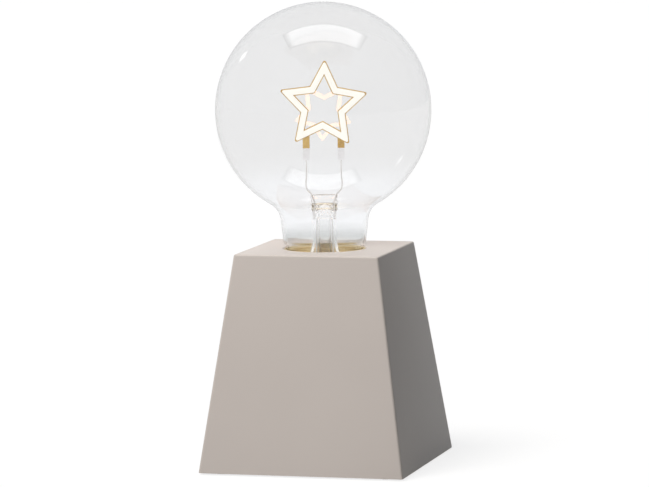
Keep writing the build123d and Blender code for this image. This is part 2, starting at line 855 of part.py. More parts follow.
# Battery door: panel, two hooks at its front edge and a bent snap tongue at its back edge
with BuildPart() as battery_door:
    door_width = 2 * (window_half_width - moving_gap)
    with BuildSketch(level(plate_bottom)):
        with Locations((0, door_front)):
            Rectangle(door_width, door_back - door_front, align=lowest)
    extrude(amount=door_top - plate_bottom)
    fillet(battery_door.edges().filter_by(Axis.Z).group_by(Axis.Y)[-1], door_corner)
    tongue_front = pocket_front + latch_root_gap + latch_metal
    with BuildSketch(level(plate_bottom)):
        with Locations((0, tongue_front)):
            Rectangle(latch_width + 2 * moving_gap, door_back - tongue_front, align=lowest)
    extrude(amount=door_top - plate_bottom, mode=Mode.SUBTRACT)
    # Hooks reach over the plate's edge through notches of the bay's front wall
    for side in (-1, 1):
        with BuildSketch(Plane.YZ.offset(side * cell_pitch / 2)):
            with BuildLine():
                Polyline(
                    (door_front, plate_bottom + door_groove),
                    (door_front + hook_root, plate_bottom + door_groove),
                    (door_front + hook_root, hook_top - hook_bevel),
                    (door_front + hook_root - hook_bevel, hook_top),
                    (door_front - hook_reach, hook_top),
                    (door_front - hook_reach, hook_low),
                    (door_front, hook_low),
                    close=True,
                )
            make_face()
        extrude(amount=hook_width / 2, both=True)
    # Snap tongue: a bent strip with a finger tab and a barb, drawn as a finger holds it pressed
    inner_leg = tongue_front - latch_metal / 2
    outer_leg = inner_leg + 2 * latch_bend
    with BuildSketch(Plane.YZ.offset(-latch_width / 2)):
        with BuildLine():
            Line((inner_leg, door_top - latch_sink), (inner_leg, latch_bend_height))
            CenterArc((inner_leg + latch_bend, latch_bend_height), latch_bend, 180, -180)
            Line((outer_leg, latch_bend_height), (outer_leg, plate_bottom))
        trace(line_width=latch_metal)
        with BuildLine():
            Polyline(
                (outer_leg, plate_bottom),
                (door_back, plate_bottom),
                (door_back, door_top),
                (outer_leg, door_top),
                close=True,
            )
        make_face()
        with BuildLine():
            Polyline(
                (outer_leg, barb_low),
                (door_back, barb_low),
                (door_back, barb_low + barb_height / 2),
                (outer_leg + latch_metal / 2, barb_low + barb_height),
                (outer_leg, barb_low + barb_height),
                close=True,
            )
        make_face()
    extrude(amount=latch_width)
    # Grip grooves next to the tongue
    with BuildSketch(level(plate_bottom)):
        with Locations((0, tongue_front - groove_start)):
            with GridLocations(0, 2 * door_groove_width, 1, groove_count):
                SlotOverall(latch_width, door_groove_width)
    extrude(amount=door_groove, mode=Mode.SUBTRACT)
finish(battery_door.part, "battery_door")

# Cells lie head to tail between the contacts
for index, column in enumerate(cell_columns):
    direction = -1 if index % 2 else 1
    start = bay_front + head_gap + cell_length if index % 2 else bay_back - head_gap - cell_length
    can_length = cell_length - cell_nub_height
    with BuildPart() as cell:
        with BuildSketch(Plane(origin=(column, start, cell_centre), z_dir=(0, direction, 0))):
            Circle(cell_radius)
        extrude(amount=can_length)
        fillet(cell.edges().filter_by(GeomType.CIRCLE), cell_edge)
        head = (column, start + direction * can_length, cell_centre)
        with BuildSketch(Plane(origin=head, z_dir=(0, direction, 0))):
            Circle(cell_nub_diameter / 2)
        extrude(amount=cell_nub_height)
    finish(cell.part, f"aa_cell_{index + 1}")


def cell_contact(name, columns, wall_face, pressed=None, sprung=None, tail=False):
    """A stamped contact on the bay's end wall: a pressed boss, a bowed leaf and a solder tail."""
    inward = 1 if wall_face == bay_front else -1
    plate_face = wall_face + inward * contact_metal
    middle = (columns[0] + columns[-1]) / 2
    width = columns[-1] - columns[0] + contact_width
    with BuildPart() as contact:
        wall_plane = Plane(origin=(middle, wall_face, contact_bottom), x_dir=(1, 0, 0), z_dir=(0, -1, 0))
        with BuildSketch(wall_plane):
            Rectangle(width, contact_top - contact_bottom, align=lowest)
            if tail:
                Rectangle(tail_width, bay_top + tail_height - contact_bottom, align=lowest)
        extrude(amount=-inward * contact_metal)
        if pressed is not None:
            with BuildSketch(Plane(origin=(pressed, plate_face, cell_centre), z_dir=(0, inward, 0))):
                Circle(cell_nub_diameter / 2)
            extrude(amount=contact_boss)
        if sprung is not None:
            low, high = cell_centre - leaf_span / 2, cell_centre + leaf_span / 2
            apex = plate_face + inward * leaf_reach
            hollow = apex - inward * leaf_metal
            with BuildSketch(Plane.YZ.offset(sprung)):
                with BuildLine():
                    ThreePointArc((plate_face, low), (apex, cell_centre), (plate_face, high))
                    Line((plate_face, high), (plate_face, high - leaf_foot))
                    ThreePointArc(
                        (plate_face, high - leaf_foot),
                        (hollow, cell_centre),
                        (plate_face, low + leaf_foot),
                    )
                    Line((plate_face, low + leaf_foot), (plate_face, low))
                make_face()
            extrude(amount=leaf_width / 2, both=True)
    finish(contact.part, name)


cell_contact("contact_positive", cell_columns[:1], bay_back, pressed=cell_columns[0], tail=True)
cell_contact("contact_negative", cell_columns[-1:], negative_wall, sprung=cell_columns[-1], tail=True)
for index, pair in enumerate(zip(cell_columns, cell_columns[1:])):
    bridge_wall = bay_back if index % 2 else bay_front
    cell_contact(f"contact_bridge_{index + 1}", pair, bridge_wall, pressed=pair[1], sprung=pair[0])

# Circuit board on its bosses, with the parts on its upper face
with BuildPart() as circuit_board:
    with BuildSketch(level(board_bottom)):
        with Locations((0, board_middle)):
            RectangleRounded(board_length, board_width, board_corner)
        with Locations(*board_places):
            Circle(board_screw_diameter / 2 + thread_clearance, mode=Mode.SUBTRACT)
        with Locations(*pin_places):
            Circle(pin_diameter / 2 + thread_clearance, mode=Mode.SUBTRACT)
    extrude(amount=board_thickness)
finish(circuit_board.part, "circuit_board")

with BuildPart() as board_screws:
    with BuildSketch(level(board_top)):
        with Locations(*board_places):
            Circle(board_screw_head / 2)
    extrude(amount=board_screw_head_height)
    fillet(board_screws.faces().group_by(Axis.Z)[-1].edges(), screw_head_edge)
    with BuildSketch(level(board_top)):
        with Locations(*board_places):
            Circle(board_screw_diameter / 2)
    extrude(amount=-board_screw_length)
finish(board_screws.part, "board_screws")

with BuildPart() as timer_chip:
    with BuildSketch(on_board(chip_place)):
        Rectangle(chip_body[0], chip_body[1])
    extrude(amount=chip_body[2])
    chamfer(timer_chip.faces().sort_by(Axis.Z)[-1].edges(), chip_bevel)
    with BuildSketch(on_board(chip_place)):
        with GridLocations(chip_lead_pitch, chip_body[1] + chip_lead[1], chip_leads_per_side, 2):
            Rectangle(chip_lead[0], chip_lead[1])
    extrude(amount=chip_lead[2])
finish(timer_chip.part, "timer_chip")

with BuildPart() as timing_crystal:
    crystal_middle = (crystal_place[0], board_middle + crystal_place[1], board_top + crystal_diameter / 2)
    with BuildSketch(Plane(origin=crystal_middle, z_dir=(1, 0, 0))):
        Circle(crystal_diameter / 2)
    extrude(amount=crystal_length / 2, both=True)
finish(timing_crystal.part, "timing_crystal")

with BuildPart() as board_capacitor:
    with BuildSketch(on_board(capacitor_place)):
        Circle(capacitor_diameter / 2)
    extrude(amount=capacitor_height)
    fillet(board_capacitor.faces().sort_by(Axis.Z)[-1].edges(), capacitor_edge)
finish(board_capacitor.part, "board_capacitor")

with BuildPart() as board_resistors:
    with BuildSketch(on_board((resistor_x, 0))):
        with GridLocations(0, resistor_pitch, 1, 2):
            Rectangle(resistor_size[0], resistor_size[1])
    extrude(amount=resistor_size[2])
finish(board_resistors.part, "board_resistors")

with BuildPart() as driver_transistor:
    with BuildSketch(on_board(transistor_place)):
        Rectangle(transistor_size[0], transistor_size[1])
    extrude(amount=transistor_size[2])
    chamfer(driver_transistor.faces().sort_by(Axis.Z)[-1].edges(), transistor_bevel)
finish(driver_transistor.part, "driver_transistor")

# Slide switch under the board; its knob stands in the plate's window, at the ON end
block_bottom = switch_bottom + switch_wall + switch_gap
knob_bottom = plate_bottom + knob_setback
knob_top = switch_bottom - switch_gap
with BuildPart() as switch_body:
    with BuildSketch(on_board((0, 0), switch_bottom)):
        Rectangle(switch_length, switch_width)
    extrude(amount=switch_height)
    with BuildSketch(on_board((0, 0), switch_bottom + switch_wall)):
        track_length = slide_block_length + switch_travel + 2 * switch_gap
        Rectangle(track_length, slide_block_width + 2 * switch_gap)
    extrude(amount=slide_block_height + 2 * switch_gap, mode=Mode.SUBTRACT)
    with BuildSketch(on_board((0, 0), switch_bottom)):
        slot_length = slide_stem_length + switch_travel + 2 * switch_gap
        Rectangle(slot_length, slide_stem_width + 2 * switch_gap)
    extrude(amount=switch_wall, mode=Mode.SUBTRACT)
    with BuildSketch(level(board_bottom)):
        with Locations(*pin_places):
            Circle(pin_diameter / 2)
    extrude(amount=board_thickness + pin_stand)
finish(switch_body.part, "switch_body")

on_place = (switch_travel / 2, 0)
with BuildPart() as switch_slider:
    with BuildSketch(on_board(on_place, knob_bottom)):
        Rectangle(knob_length, knob_width)
    extrude(amount=knob_top - knob_bottom)
    with BuildSketch(on_board(on_place, knob_top)):
        Rectangle(slide_stem_length, slide_stem_width)
    extrude(amount=block_bottom - knob_top)
    with BuildSketch(on_board(on_place, block_bottom)):
        Rectangle(slide_block_length, slide_block_width)
    extrude(amount=slide_block_height)
    with BuildSketch(on_board(on_place, knob_bottom)):
        with GridLocations(3 * knob_grip, 0, 3, 1):
            Rectangle(knob_grip, knob_width)
    extrude(amount=knob_grip, mode=Mode.SUBTRACT)
finish(switch_slider.part, "switch_slider")

# Insulated leads: cells to board, and board to the bulb's wires
lead_row = board_middle + board_width / 2 - lead_row_inset
tail_top = bay_top + tail_height
arch_top = tail_top + lead_arch
red_tail, black_tail = tail_places
black_end = (cell_lead_x, board_middle - lead_row_inset)


def black_arch(across, along, rise):
    """A point of the black lead's arch, at these shares of the way across, along and up."""
    return (
        between(black_tail[0], black_end[0], across),
        between(black_tail[1], board_middle, along),
        between(tail_top, arch_top, rise),
    )


def bulb_lead_route(wire_end, board_x):
    """From the wire's end down into the housing, then along its back to the board."""
    side = between(wire_end.X, board_x, 0.5)
    depth = between(wire_end.Y, lead_row, 0.45)
    return [
        wire_end,
        (wire_end.X, wire_end.Y, wire_end.Z - bulb_lead_drop),
        (side, depth, between(board_top, wire_end.Z, 0.52)),
        (board_x, lead_row, between(board_top, wire_end.Z, 0.3)),
        (board_x, lead_row, board_top),
    ]


lead_routes = {
    "battery_lead_red": [
        (*red_tail, tail_top),
        (*red_tail, arch_top),
        (-cell_lead_x, board_middle, between(tail_top, arch_top, 0.85)),
        (-cell_lead_x, board_middle, board_top),
    ],
    "battery_lead_black": [
        (*black_tail, tail_top),
        black_arch(0, 0, 0.6),
        black_arch(0.3, 0.2, 1),
        black_arch(0.6, 0.5, 1.08),
        black_arch(1, 0.78, 1),
        (*black_end, between(tail_top, arch_top, 0.62)),
        (*black_end, board_top),
    ],
    "bulb_lead_red": bulb_lead_route(in_bulb(-wire_spacing_low / 2, clamp_top - wire_tail), red_board_x),
    "bulb_lead_black": bulb_lead_route(in_bulb(wire_spacing_low / 2, clamp_top - wire_tail), black_board_x),
}
for name, route in lead_routes.items():
    finish(round_wire(route, lead_diameter), name)
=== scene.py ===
"""Battery table lamp with a clear globe bulb and a glowing star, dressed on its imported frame.

Metres, +Z up, and the front of the base faces -Y. The bulb's pieces are modelled facing -Y and
then turned with the bulb.
"""

import math

import bpy
from mathutils import Matrix, Vector


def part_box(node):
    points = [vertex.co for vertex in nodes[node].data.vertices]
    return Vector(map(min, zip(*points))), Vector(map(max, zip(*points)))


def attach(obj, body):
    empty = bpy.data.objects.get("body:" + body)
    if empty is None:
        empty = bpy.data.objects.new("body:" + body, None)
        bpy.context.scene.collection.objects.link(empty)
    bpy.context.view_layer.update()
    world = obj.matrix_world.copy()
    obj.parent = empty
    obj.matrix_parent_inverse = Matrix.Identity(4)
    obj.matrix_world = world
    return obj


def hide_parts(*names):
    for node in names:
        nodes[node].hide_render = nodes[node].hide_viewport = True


bl_info = {
    "name": "Star table lamp",
    "version": (1, 0, 0),
    "blender": (4, 5, 0),
    "location": "3D View > Sidebar > Star lamp",
    "description": "Models a battery table lamp with a globe bulb and a glowing star on its frame",
    "category": "Add Mesh",
}

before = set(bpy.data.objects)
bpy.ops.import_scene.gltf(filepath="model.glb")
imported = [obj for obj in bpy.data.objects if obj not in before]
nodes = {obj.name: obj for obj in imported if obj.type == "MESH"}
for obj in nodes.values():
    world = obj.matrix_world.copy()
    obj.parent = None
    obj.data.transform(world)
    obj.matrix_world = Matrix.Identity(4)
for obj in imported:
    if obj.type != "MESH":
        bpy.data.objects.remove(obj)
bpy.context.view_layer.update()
MM = 0.001
UP = Vector((0, 0, 1))
WHITE = (1.0, 1.0, 1.0, 1.0)


def length_setting(label, text, size):
    """A length that the user can set, in metres."""
    return bpy.props.FloatProperty(name=label, description=text, default=size, unit="LENGTH", precision=5)


def angle_setting(label, text, degrees):
    """An angle that the user can set."""
    return bpy.props.FloatProperty(
        name=label, description=text, default=math.radians(degrees), unit="ROTATION"
    )


def colour_setting(label, text, colour):
    """A colour that the user can set."""
    return bpy.props.FloatVectorProperty(
        name=label, description=text, default=colour, subtype="COLOR", size=3, min=0, max=1
    )


def share_setting(label, text, share):
    """A share from nought to one that the user can set."""
    return bpy.props.FloatProperty(
        name=label, description=text, default=share, subtype="FACTOR", min=0, max=1
    )


def strength_setting(label, text, strength):
    """A strength of light that the user can set."""
    return bpy.props.FloatProperty(name=label, description=text, default=strength, min=0)


def count_setting(label, text, count):
    """A count that the user can set."""
    return bpy.props.IntProperty(name=label, description=text, default=count, min=1)


class HousingSettings(bpy.types.PropertyGroup):
    top_width: length_setting("Top width", "Width of the housing's flat top", 70.5 * MM)
    hole_radius: length_setting("Hole radius", "Radius of the socket's hole in the top", 19.7 * MM)
    wall: length_setting("Wall", "Thickness of the moulded walls", 2.8 * MM)
    corner_radius: length_setting("Corner radius", "Rounding of the four slanted edges", 1.2 * MM)
    top_radius: length_setting("Top edge radius", "Rounding round the flat top", 0.9 * MM)
    bottom_radius: length_setting("Lower edge radius", "Rounding round the open underside", 0.4 * MM)
    hole_chamfer: length_setting("Hole chamfer", "Bevel round the socket's hole", 0.7 * MM)
    rebate_wall: length_setting("Rebate wall", "Wall left round the bottom plate", 1.4 * MM)
    rebate_depth: length_setting("Rebate depth", "Depth of the seat of the bottom plate", 3.0 * MM)
    socket_depth: length_setting("Socket depth", "How far the socket's sleeve reaches down", 14.2 * MM)
    socket_wall: length_setting("Socket wall", "Wall of the socket's sleeve", 2.4 * MM)
    rib: length_setting("Rib", "Thickness of the socket's ribs", 1.6 * MM)
    rib_height: length_setting("Rib height", "Height of the socket's ribs", 9.0 * MM)
    clamp_reach: length_setting("Clamp reach", "How far the clamp's screws stand from the middle", 24.8 * MM)
    clamp_angle: angle_setting("Clamp angle", "Direction of the clamp's first screw", 45.0)
    clamp_count: count_setting("Clamp screws", "Number of screws in the clamp", 3)
    clamp_boss_radius: length_setting("Clamp boss radius", "Radius of a clamp screw's boss", 3.5 * MM)
    clamp_hole_radius: length_setting("Clamp hole radius", "Radius of a clamp screw's hole", 1.33 * MM)
    clamp_hole_depth: length_setting("Clamp hole depth", "Depth of a clamp screw's hole", 6.7 * MM)
    boss_place: bpy.props.FloatVectorProperty(
        name="Boss place", description="Sideways and forward place of a plate screw's boss", size=2,
        default=(39.5 * MM, 22.0 * MM), unit="LENGTH", precision=5,
    )
    boss_radius: length_setting("Boss radius", "Radius of a plate screw's boss", 3.8 * MM)
    boss_height: length_setting("Boss height", "Height of a plate screw's boss", 24.0 * MM)
    boss_web: length_setting("Boss web", "Thickness of the web from a boss to the wall", 2.4 * MM)
    boss_hole_radius: length_setting("Boss hole radius", "Radius of a plate screw's hole", 1.53 * MM)
    boss_hole_depth: length_setting("Boss hole depth", "Depth of a plate screw's hole", 12.0 * MM)
    colour: colour_setting("Colour", "Greige of the moulding", (0.515, 0.462, 0.425))


class CollarSettings(bpy.types.PropertyGroup):
    wall: length_setting("Wall", "Thickness of the collar's metal", 0.6 * MM)
    radius: length_setting("Radius", "Outer radius of the sleeve", 19.4 * MM)
    ridge_depth: length_setting("Ridge depth", "How far a rolled ridge stands inwards", 0.35 * MM)
    ridge_pitch: length_setting("Ridge pitch", "Spacing of the rolled ridges", 1.3 * MM)
    ridge_count: count_setting("Ridges", "Number of rolled ridges", 4)
    colour: colour_setting("Colour", "Pale gold of the collar", (0.88, 0.73, 0.45))


class BulbSettings(bpy.types.PropertyGroup):
    wall: length_setting("Wall", "Thickness of the blown glass", 0.9 * MM)
    neck_radius: length_setting("Neck radius", "Radius where the neck meets the throat", 20.9 * MM)
    throat_radius: length_setting("Throat radius", "Radius of the curve between globe and neck", 10.5 * MM)
    neck_taper: angle_setting("Neck taper", "Slope of the neck's side", 6.2)
    mouth_height: length_setting("Mouth height", "Height where the neck draws in", 107.2 * MM)
    collar_height: length_setting("Collar height", "Height where the neck enters the collar", 103.6 * MM)
    mouth_radius: length_setting("Mouth radius", "Radius where the neck enters the collar", 18.25 * MM)
    end_radius: length_setting("End radius", "Radius of the neck's lower end", 17.6 * MM)
    bend_radius: length_setting("Bend radius", "Rounding of the neck's bends", 4.0 * MM)
    sides: count_setting("Sides", "Sides of the globe", 160)
    turn: angle_setting("Turn", "How far the bulb is turned against the base", 15.0)
    # Painted light and shade on clear glass, set by height. The grey tint and the greyer neck are painted shade
    # standing in for the dark surroundings that the glass mirrors. The clearer throat and mouth are painted light.
    painted_band_top: length_setting("Clear height", "Height where the throat's clearer glass ends", 145.0 * MM)
    colour: colour_setting("Tint", "Light that the glass lets through", (0.905, 0.905, 0.907))
    throat_painted_light: colour_setting("Throat tint", "Light that the throat lets through", (0.96, 0.965, 0.975))
    neck_painted_shade: colour_setting("Neck tint", "Light that the drawn-in neck lets through", (0.79, 0.80, 0.80))
    mouth_painted_light: colour_setting("Mouth tint", "Light that the neck lets through in the collar", (0.98, 0.97, 0.95))


class StemSettings(bpy.types.PropertyGroup):
    radius: length_setting("Radius", "Radius of the stem's tube", 5.7 * MM)
    wall: length_setting("Wall", "Wall of the stem's tube", 1.2 * MM)
    flare_height: length_setting("Flare height", "Height of the flare over the neck's end", 16.0 * MM)
    flare_lip: length_setting("Flare lip", "Straight lip under the flare", 1.1 * MM)
    tube_top: length_setting("Tube top", "Height where the tube starts to flatten", 121.8 * MM)
    shoulder: length_setting("Shoulder", "Height of the flattening", 3.4 * MM)
    press_width: length_setting("Press width", "Width of the flattened press", 13.1 * MM)
    press_depth: length_setting("Press depth", "Thickness of the flattened press", 4.8 * MM)
    bore_cap: length_setting("Bore cap", "Solid glass over the bore", 3.0 * MM)
    exhaust_radius: length_setting("Exhaust radius", "Radius of the inner tube", 3.3 * MM)
    exhaust_wall: length_setting("Exhaust wall", "Wall of the inner tube", 1.0 * MM)
    exhaust_gap: length_setting("Exhaust gap", "Air between the inner tube's end and the stem", 0.06 * MM)


class WireSettings(bpy.types.PropertyGroup):
    diameter: length_setting("Wire", "Diameter of the support wires", 0.8 * MM)
    spacing: length_setting("Spacing", "Distance between the wires at the star", 16.6 * MM)
    spacing_press: length_setting("Press spacing", "Distance between the wires in the press", 11.8 * MM)
    spacing_low: length_setting("Low spacing", "Distance between the wires at the disc", 7.8 * MM)
    lug_edge: length_setting("Lug edge", "Rounding of the lug's lower corners", 0.8 * MM)
    lug_fold: length_setting("Lug fold", "How far the lug's sides fold back round the wire", 0.5 * MM)
    colour: colour_setting("Wire colour", "Nickel of the support wires", (0.90, 0.885, 0.87))
    lug_colour: colour_setting("Lug colour", "Tinned strip of the lugs", (0.93, 0.91, 0.91))


class StarSettings(bpy.types.PropertyGroup):
    height: length_setting("Height", "Height of the star's middle", 172.1 * MM)
    forward: length_setting("Forward", "How far the star stands in front of the bulb's axis", 6.0 * MM)
    roll: angle_setting("Roll", "Lean of the star", -2.4)
    points: count_setting("Points", "Number of points", 5)
    tip_radius: length_setting("Tip radius", "Reach of the points", 22.5 * MM)
    notch_radius: length_setting("Notch radius", "Distance of the notches from the middle", 11.35 * MM)
    stroke: length_setting("Stroke", "Width of the star's band", 3.7 * MM)
    tip_rounding: length_setting("Tip rounding", "Rounding of the points", 1.0 * MM)
    metal: length_setting("Metal", "Thickness of the stamped carrier", 0.5 * MM)
    layer: length_setting("Layer", "Height of the glowing layer", 0.7 * MM)
    border: length_setting("Border", "Bare metal round the glowing layer", 0.28 * MM)
    layer_rounding: length_setting("Layer rounding", "Rounding of the glowing layer's edge", 0.3 * MM)
    tab_reach: length_setting("Tab reach", "How far the tabs reach below the middle", 20.1 * MM)
    carrier_colour: colour_setting("Carrier colour", "Gold of the stamped carrier", (0.76, 0.50, 0.16))
    face_colour: colour_setting("Face colour", "The layers' faces, as other light shows them", (0.25, 0.26, 0.28))
    side_colour: colour_setting("Side colour", "The layers' sides, as other light shows them", (0.40, 0.28, 0.11))
    front_glow: colour_setting("Front glow", "Glow of the front layer's face", (1.0, 0.95, 0.82))
    back_glow: colour_setting("Back glow", "Glow of the back layer's face", (1.0, 0.42, 0.12))
    side_glow: colour_setting("Side glow", "Glow of the layers' sloping sides", (1.0, 0.60, 0.20))
    front_strength: strength_setting("Front strength", "Strength of the front face's glow", 0.85)
    back_strength: strength_setting("Back strength", "Strength of the back face's glow", 7.0)
    side_strength: strength_setting("Side strength", "Strength of the sides' glow", 0.14)


class SmallPartSettings(bpy.types.PropertyGroup):
    foot_radius: length_setting("Foot radius", "Radius of a foot pad", 5.5 * MM)
    foot_edge: length_setting("Foot edge", "Rounding of a foot pad", 0.3 * MM)
    recess_reach: share_setting("Recess reach", "Reach of a screw's cross recess in its head", 0.62)
    recess_width: share_setting("Recess width", "Width of the recess's arms", 0.2)
    cell_wrap: length_setting("Cell wrap", "Thickness of a cell's jacket over the can", 0.2 * MM)


class StageSettings(bpy.types.PropertyGroup):
    azimuth: angle_setting("Azimuth", "Camera's direction round the lamp", 15.225)
    elevation: angle_setting("Elevation", "Camera's direction above the lamp", 6.147)
    roll: angle_setting("Roll", "Camera's roll", -0.686)
    distance: length_setting("Distance", "Camera's distance from the point it circles", 2.041)
    aim_height: length_setting("Aim height", "Height of the point the camera circles", 52.2 * MM)
    shift_right: length_setting("Sidestep", "Camera's sidestep in its own frame", -0.8 * MM)
    shift_up: length_setting("Rise", "Camera's rise in its own frame", 53.1 * MM)
    lens: bpy.props.FloatProperty(name="Lens", description="Focal length", default=235.95, unit="CAMERA")
    key_strength: strength_setting("Key", "Light of the key lamp on the object", 1.20)
    key_softness: angle_setting("Key softness", "Width of the key lamp as the lamp sees it", 32.0)
    back_strength: strength_setting("Back light", "Light on the faces turned away from the camera", 0.22)
    under_strength: strength_setting("Under light", "Light on the faces turned down", 0.7)
    bounce_strength: strength_setting("Bounce", "Light that the floor in front throws back up", 0.3)
    bounce_reach: length_setting("Bounce reach", "How far the bright patch of floor reaches", 170 * MM)
    bounce_forward: length_setting("Bounce place", "How far in front the bright patch lies", 130 * MM)
    fill_strength: strength_setting("Fill", "Light of the surroundings on the object", 0.28)
    gloss_strength: strength_setting("Surroundings", "Brightness that gloss and metal mirror", 0.8)
    dim_fill: share_setting("Dim fill", "Share of the fill light left at the far right", 0.07)
    dim_gloss: share_setting("Dim gloss", "Share of the mirrored surroundings left at the far right", 0.55)
    dim_end: share_setting("Dim end", "How far to the right the dimming ends", 0.85)
    card_strength: strength_setting("Cards", "Brightness of the reflecting cards", 2.3)
    card_edge: share_setting("Card edge", "How far a card's edges fade, as a share of its width", 0.12)
    floor_lift: strength_setting("Floor lift", "Light added to the floor where it is seen", 0.785)
    floor_colour: colour_setting("Floor", "Floor colour", (0.18, 0.18, 0.18))


def begin_piece():
    """Leave edit mode and deselect everything, the carried-over nodes among it."""
    if bpy.context.object is not None and bpy.context.object.mode != "OBJECT":
        bpy.ops.object.mode_set(mode="OBJECT")
    bpy.ops.object.select_all(action="DESELECT")


def settle(name):
    """Put the active object's place, turn and size into its mesh and name it."""
    bpy.ops.object.transform_apply(location=True, rotation=True, scale=True)
    piece = bpy.context.object
    piece.name = name
    piece.data.name = name
    return piece


def add_box(name, low, high):
    """A box primitive between two corners."""
    begin_piece()
    low, high = Vector(low), Vector(high)
    bpy.ops.mesh.primitive_cube_add(size=1, location=(low + high) / 2)
    bpy.context.object.scale = high - low
    return settle(name)


def choose(piece, kind, wanted):
    """Select in edit mode the vertices, edges or faces whose place and direction are wanted."""
    if piece.mode != "OBJECT":
        bpy.ops.object.mode_set(mode="OBJECT")
    mesh = piece.data
    for items in (mesh.vertices, mesh.edges, mesh.polygons):
        items.foreach_set("select", [False] * len(items))
    if kind == "VERT":
        for vertex in mesh.vertices:
            vertex.select = wanted(vertex.co, vertex.normal)
    if kind == "EDGE":
        for edge in mesh.edges:
            start, end = (mesh.vertices[index].co for index in edge.vertices)
            edge.select = wanted((start + end) / 2, (end - start).normalized())
    if kind == "FACE":
        for face in mesh.polygons:
            face.select = wanted(face.center, face.normal)
    bpy.context.tool_settings.mesh_select_mode = (kind == "VERT", kind == "EDGE", kind == "FACE")
    bpy.ops.object.mode_set(mode="EDIT")


def clean_mesh(piece):
    """Merge doubles, turn the faces outwards and leave edit mode."""
    if piece.mode != "EDIT":
        bpy.ops.object.mode_set(mode="EDIT")
    bpy.ops.mesh.select_all(action="SELECT")
    bpy.ops.mesh.remove_doubles(threshold=0.001 * MM)
    bpy.ops.mesh.normals_make_consistent(inside=False)
    bpy.ops.object.mode_set(mode="OBJECT")


def make_active(piece):
    """Select one object alone and make it active."""
    begin_piece()
    piece.select_set(True)
    bpy.context.view_layer.objects.active = piece


def apply_modifier(piece, kind, **values):
    """Add a modifier with these values and apply it."""
    make_active(piece)
    modifier = piece.modifiers.new(kind.title(), kind)
    for name, value in values.items():
        setattr(modifier, name, value)
    bpy.ops.object.modifier_apply(modifier=modifier.name)


def combine(piece, other, operation):
    """Change one closed form by another and delete the other."""
    apply_modifier(piece, "BOOLEAN", operation=operation, object=other, solver="EXACT")
    mesh = other.data
    make_active(other)
    bpy.ops.object.delete()
    bpy.data.meshes.remove(mesh)
    make_active(piece)


def cut_away(piece, cutter):
    """Cut one closed form out of another."""
    combine(piece, cutter, "DIFFERENCE")


def add_to(piece, other):
    """Grow one closed form into another."""
    combine(piece, other, "UNION")


def join_pieces(name, pieces):
    """Join pieces into one."""
    make_active(pieces[0])
    for piece in pieces[1:]:
        piece.select_set(True)
    if len(pieces) > 1:
        bpy.ops.object.join()
    return settle(name)


def copies_at(piece, places):
    """Copies of a piece, each with its own mesh, moved to each place after the first."""
    found = []
    for place in places:
        make_active(piece)
        bpy.ops.object.duplicate()
        copy = bpy.context.object
        copy.location = place
        found.append(settle(piece.name + "_copy"))
    make_active(piece)
    bpy.ops.object.delete()
    return found


def ring_form(name, rings, sides, looped=False, capped=False):
    """A form of level rings (half width, half depth, height): one ring of edges, extruded and resized
    from each to the next. A ring of no width is a pole. looped joins the last ring to the first, and
    capped closes the first ring with a face."""
    begin_piece()
    top_pole = None
    if rings[0][0] == 0:
        top_pole = rings[0]
        rings = rings[1:]
    wide, deep, height = rings[0]
    bpy.ops.mesh.primitive_circle_add(vertices=sides, radius=1, location=(0, 0, height))
    bpy.context.object.scale = (wide, deep, 1)
    piece = settle(name)
    bpy.ops.object.mode_set(mode="EDIT")
    bpy.ops.mesh.select_all(action="SELECT")
    following = rings[1:] + (rings[:1] if looped else [])
    for next_wide, next_deep, next_height in following:
        extrude_ring((wide, deep, height), (next_wide, next_deep, next_height))
        wide, deep, height = next_wide, next_deep, next_height
    first = rings[0]
    if top_pole or capped:
        choose(piece, "EDGE", lambda place, run: on_ring(place, first, sides) and abs(run.z) < 0.5)
        if capped:
            bpy.ops.mesh.edge_face_add()
        else:
            extrude_ring(first, top_pole)
    clean_mesh(piece)
    return piece


def extrude_ring(ring, following):
    """Extrude the chosen ring of edges to the next height and resize it there."""
    rise = following[2] - ring[2]
    bpy.ops.mesh.extrude_region_move(TRANSFORM_OT_translate={"value": (0, 0, rise)})
    value = (following[0] / ring[0], following[1] / ring[1], 1)
    bpy.ops.transform.resize(value=value, center_override=(0, 0, following[2]))


def on_ring(place, ring, sides):
    """Whether the middle of an edge lies on this ring."""
    reach = math.hypot(place.x / ring[0], place.y / ring[1])
    return abs(place.z - ring[2]) < 0.001 * MM and abs(reach - math.cos(math.pi / sides)) < 0.001


def round_rings(line):
    """Rings for a form that is round all the way, from (radius, height) pairs."""
    return [(radius, radius, height) for radius, height in line]


def arc(centre, radius, first, last, steps, height=None):
    """Points (radius, height) of an arc or, with its own height, of an ellipse's arc, in degrees."""
    rise = radius if height is None else height
    angles = [math.radians(first + (last - first) * step / steps) for step in range(steps + 1)]
    return [(centre[0] + radius * math.cos(a), centre[1] + rise * math.sin(a)) for a in angles]


def round_corner(before, corner, after, radius, steps=6):
    """Points of the arc that rounds a corner between two straight runs of a profile."""
    before, corner, after = Vector(before), Vector(corner), Vector(after)
    inward = (before - corner).normalized()
    outward = (after - corner).normalized()
    half = inward.angle(outward) / 2
    reach = radius / math.tan(half)
    middle = corner + (inward + outward).normalized() * radius / math.sin(half)
    start = corner + inward * reach - middle
    turn = start.angle_signed(corner + outward * reach - middle)
    points = []
    for step in range(steps + 1):
        spoke = start.copy()
        spoke.rotate(Matrix.Rotation(-turn * step / steps, 2))
        points.append(tuple(middle + spoke))
    return points


def smooth(piece, degrees=35):
    """Shade smooth, keeping edges sharper than this angle."""
    make_active(piece)
    bpy.ops.object.shade_smooth_by_angle(angle=math.radians(degrees))


def turn_with_bulb(piece):
    """Turn a piece that was modelled facing the front with the bulb."""
    make_active(piece)
    piece.rotation_euler = (0, 0, bpy.context.scene.lamp_bulb.turn)
    return settle(piece.name)


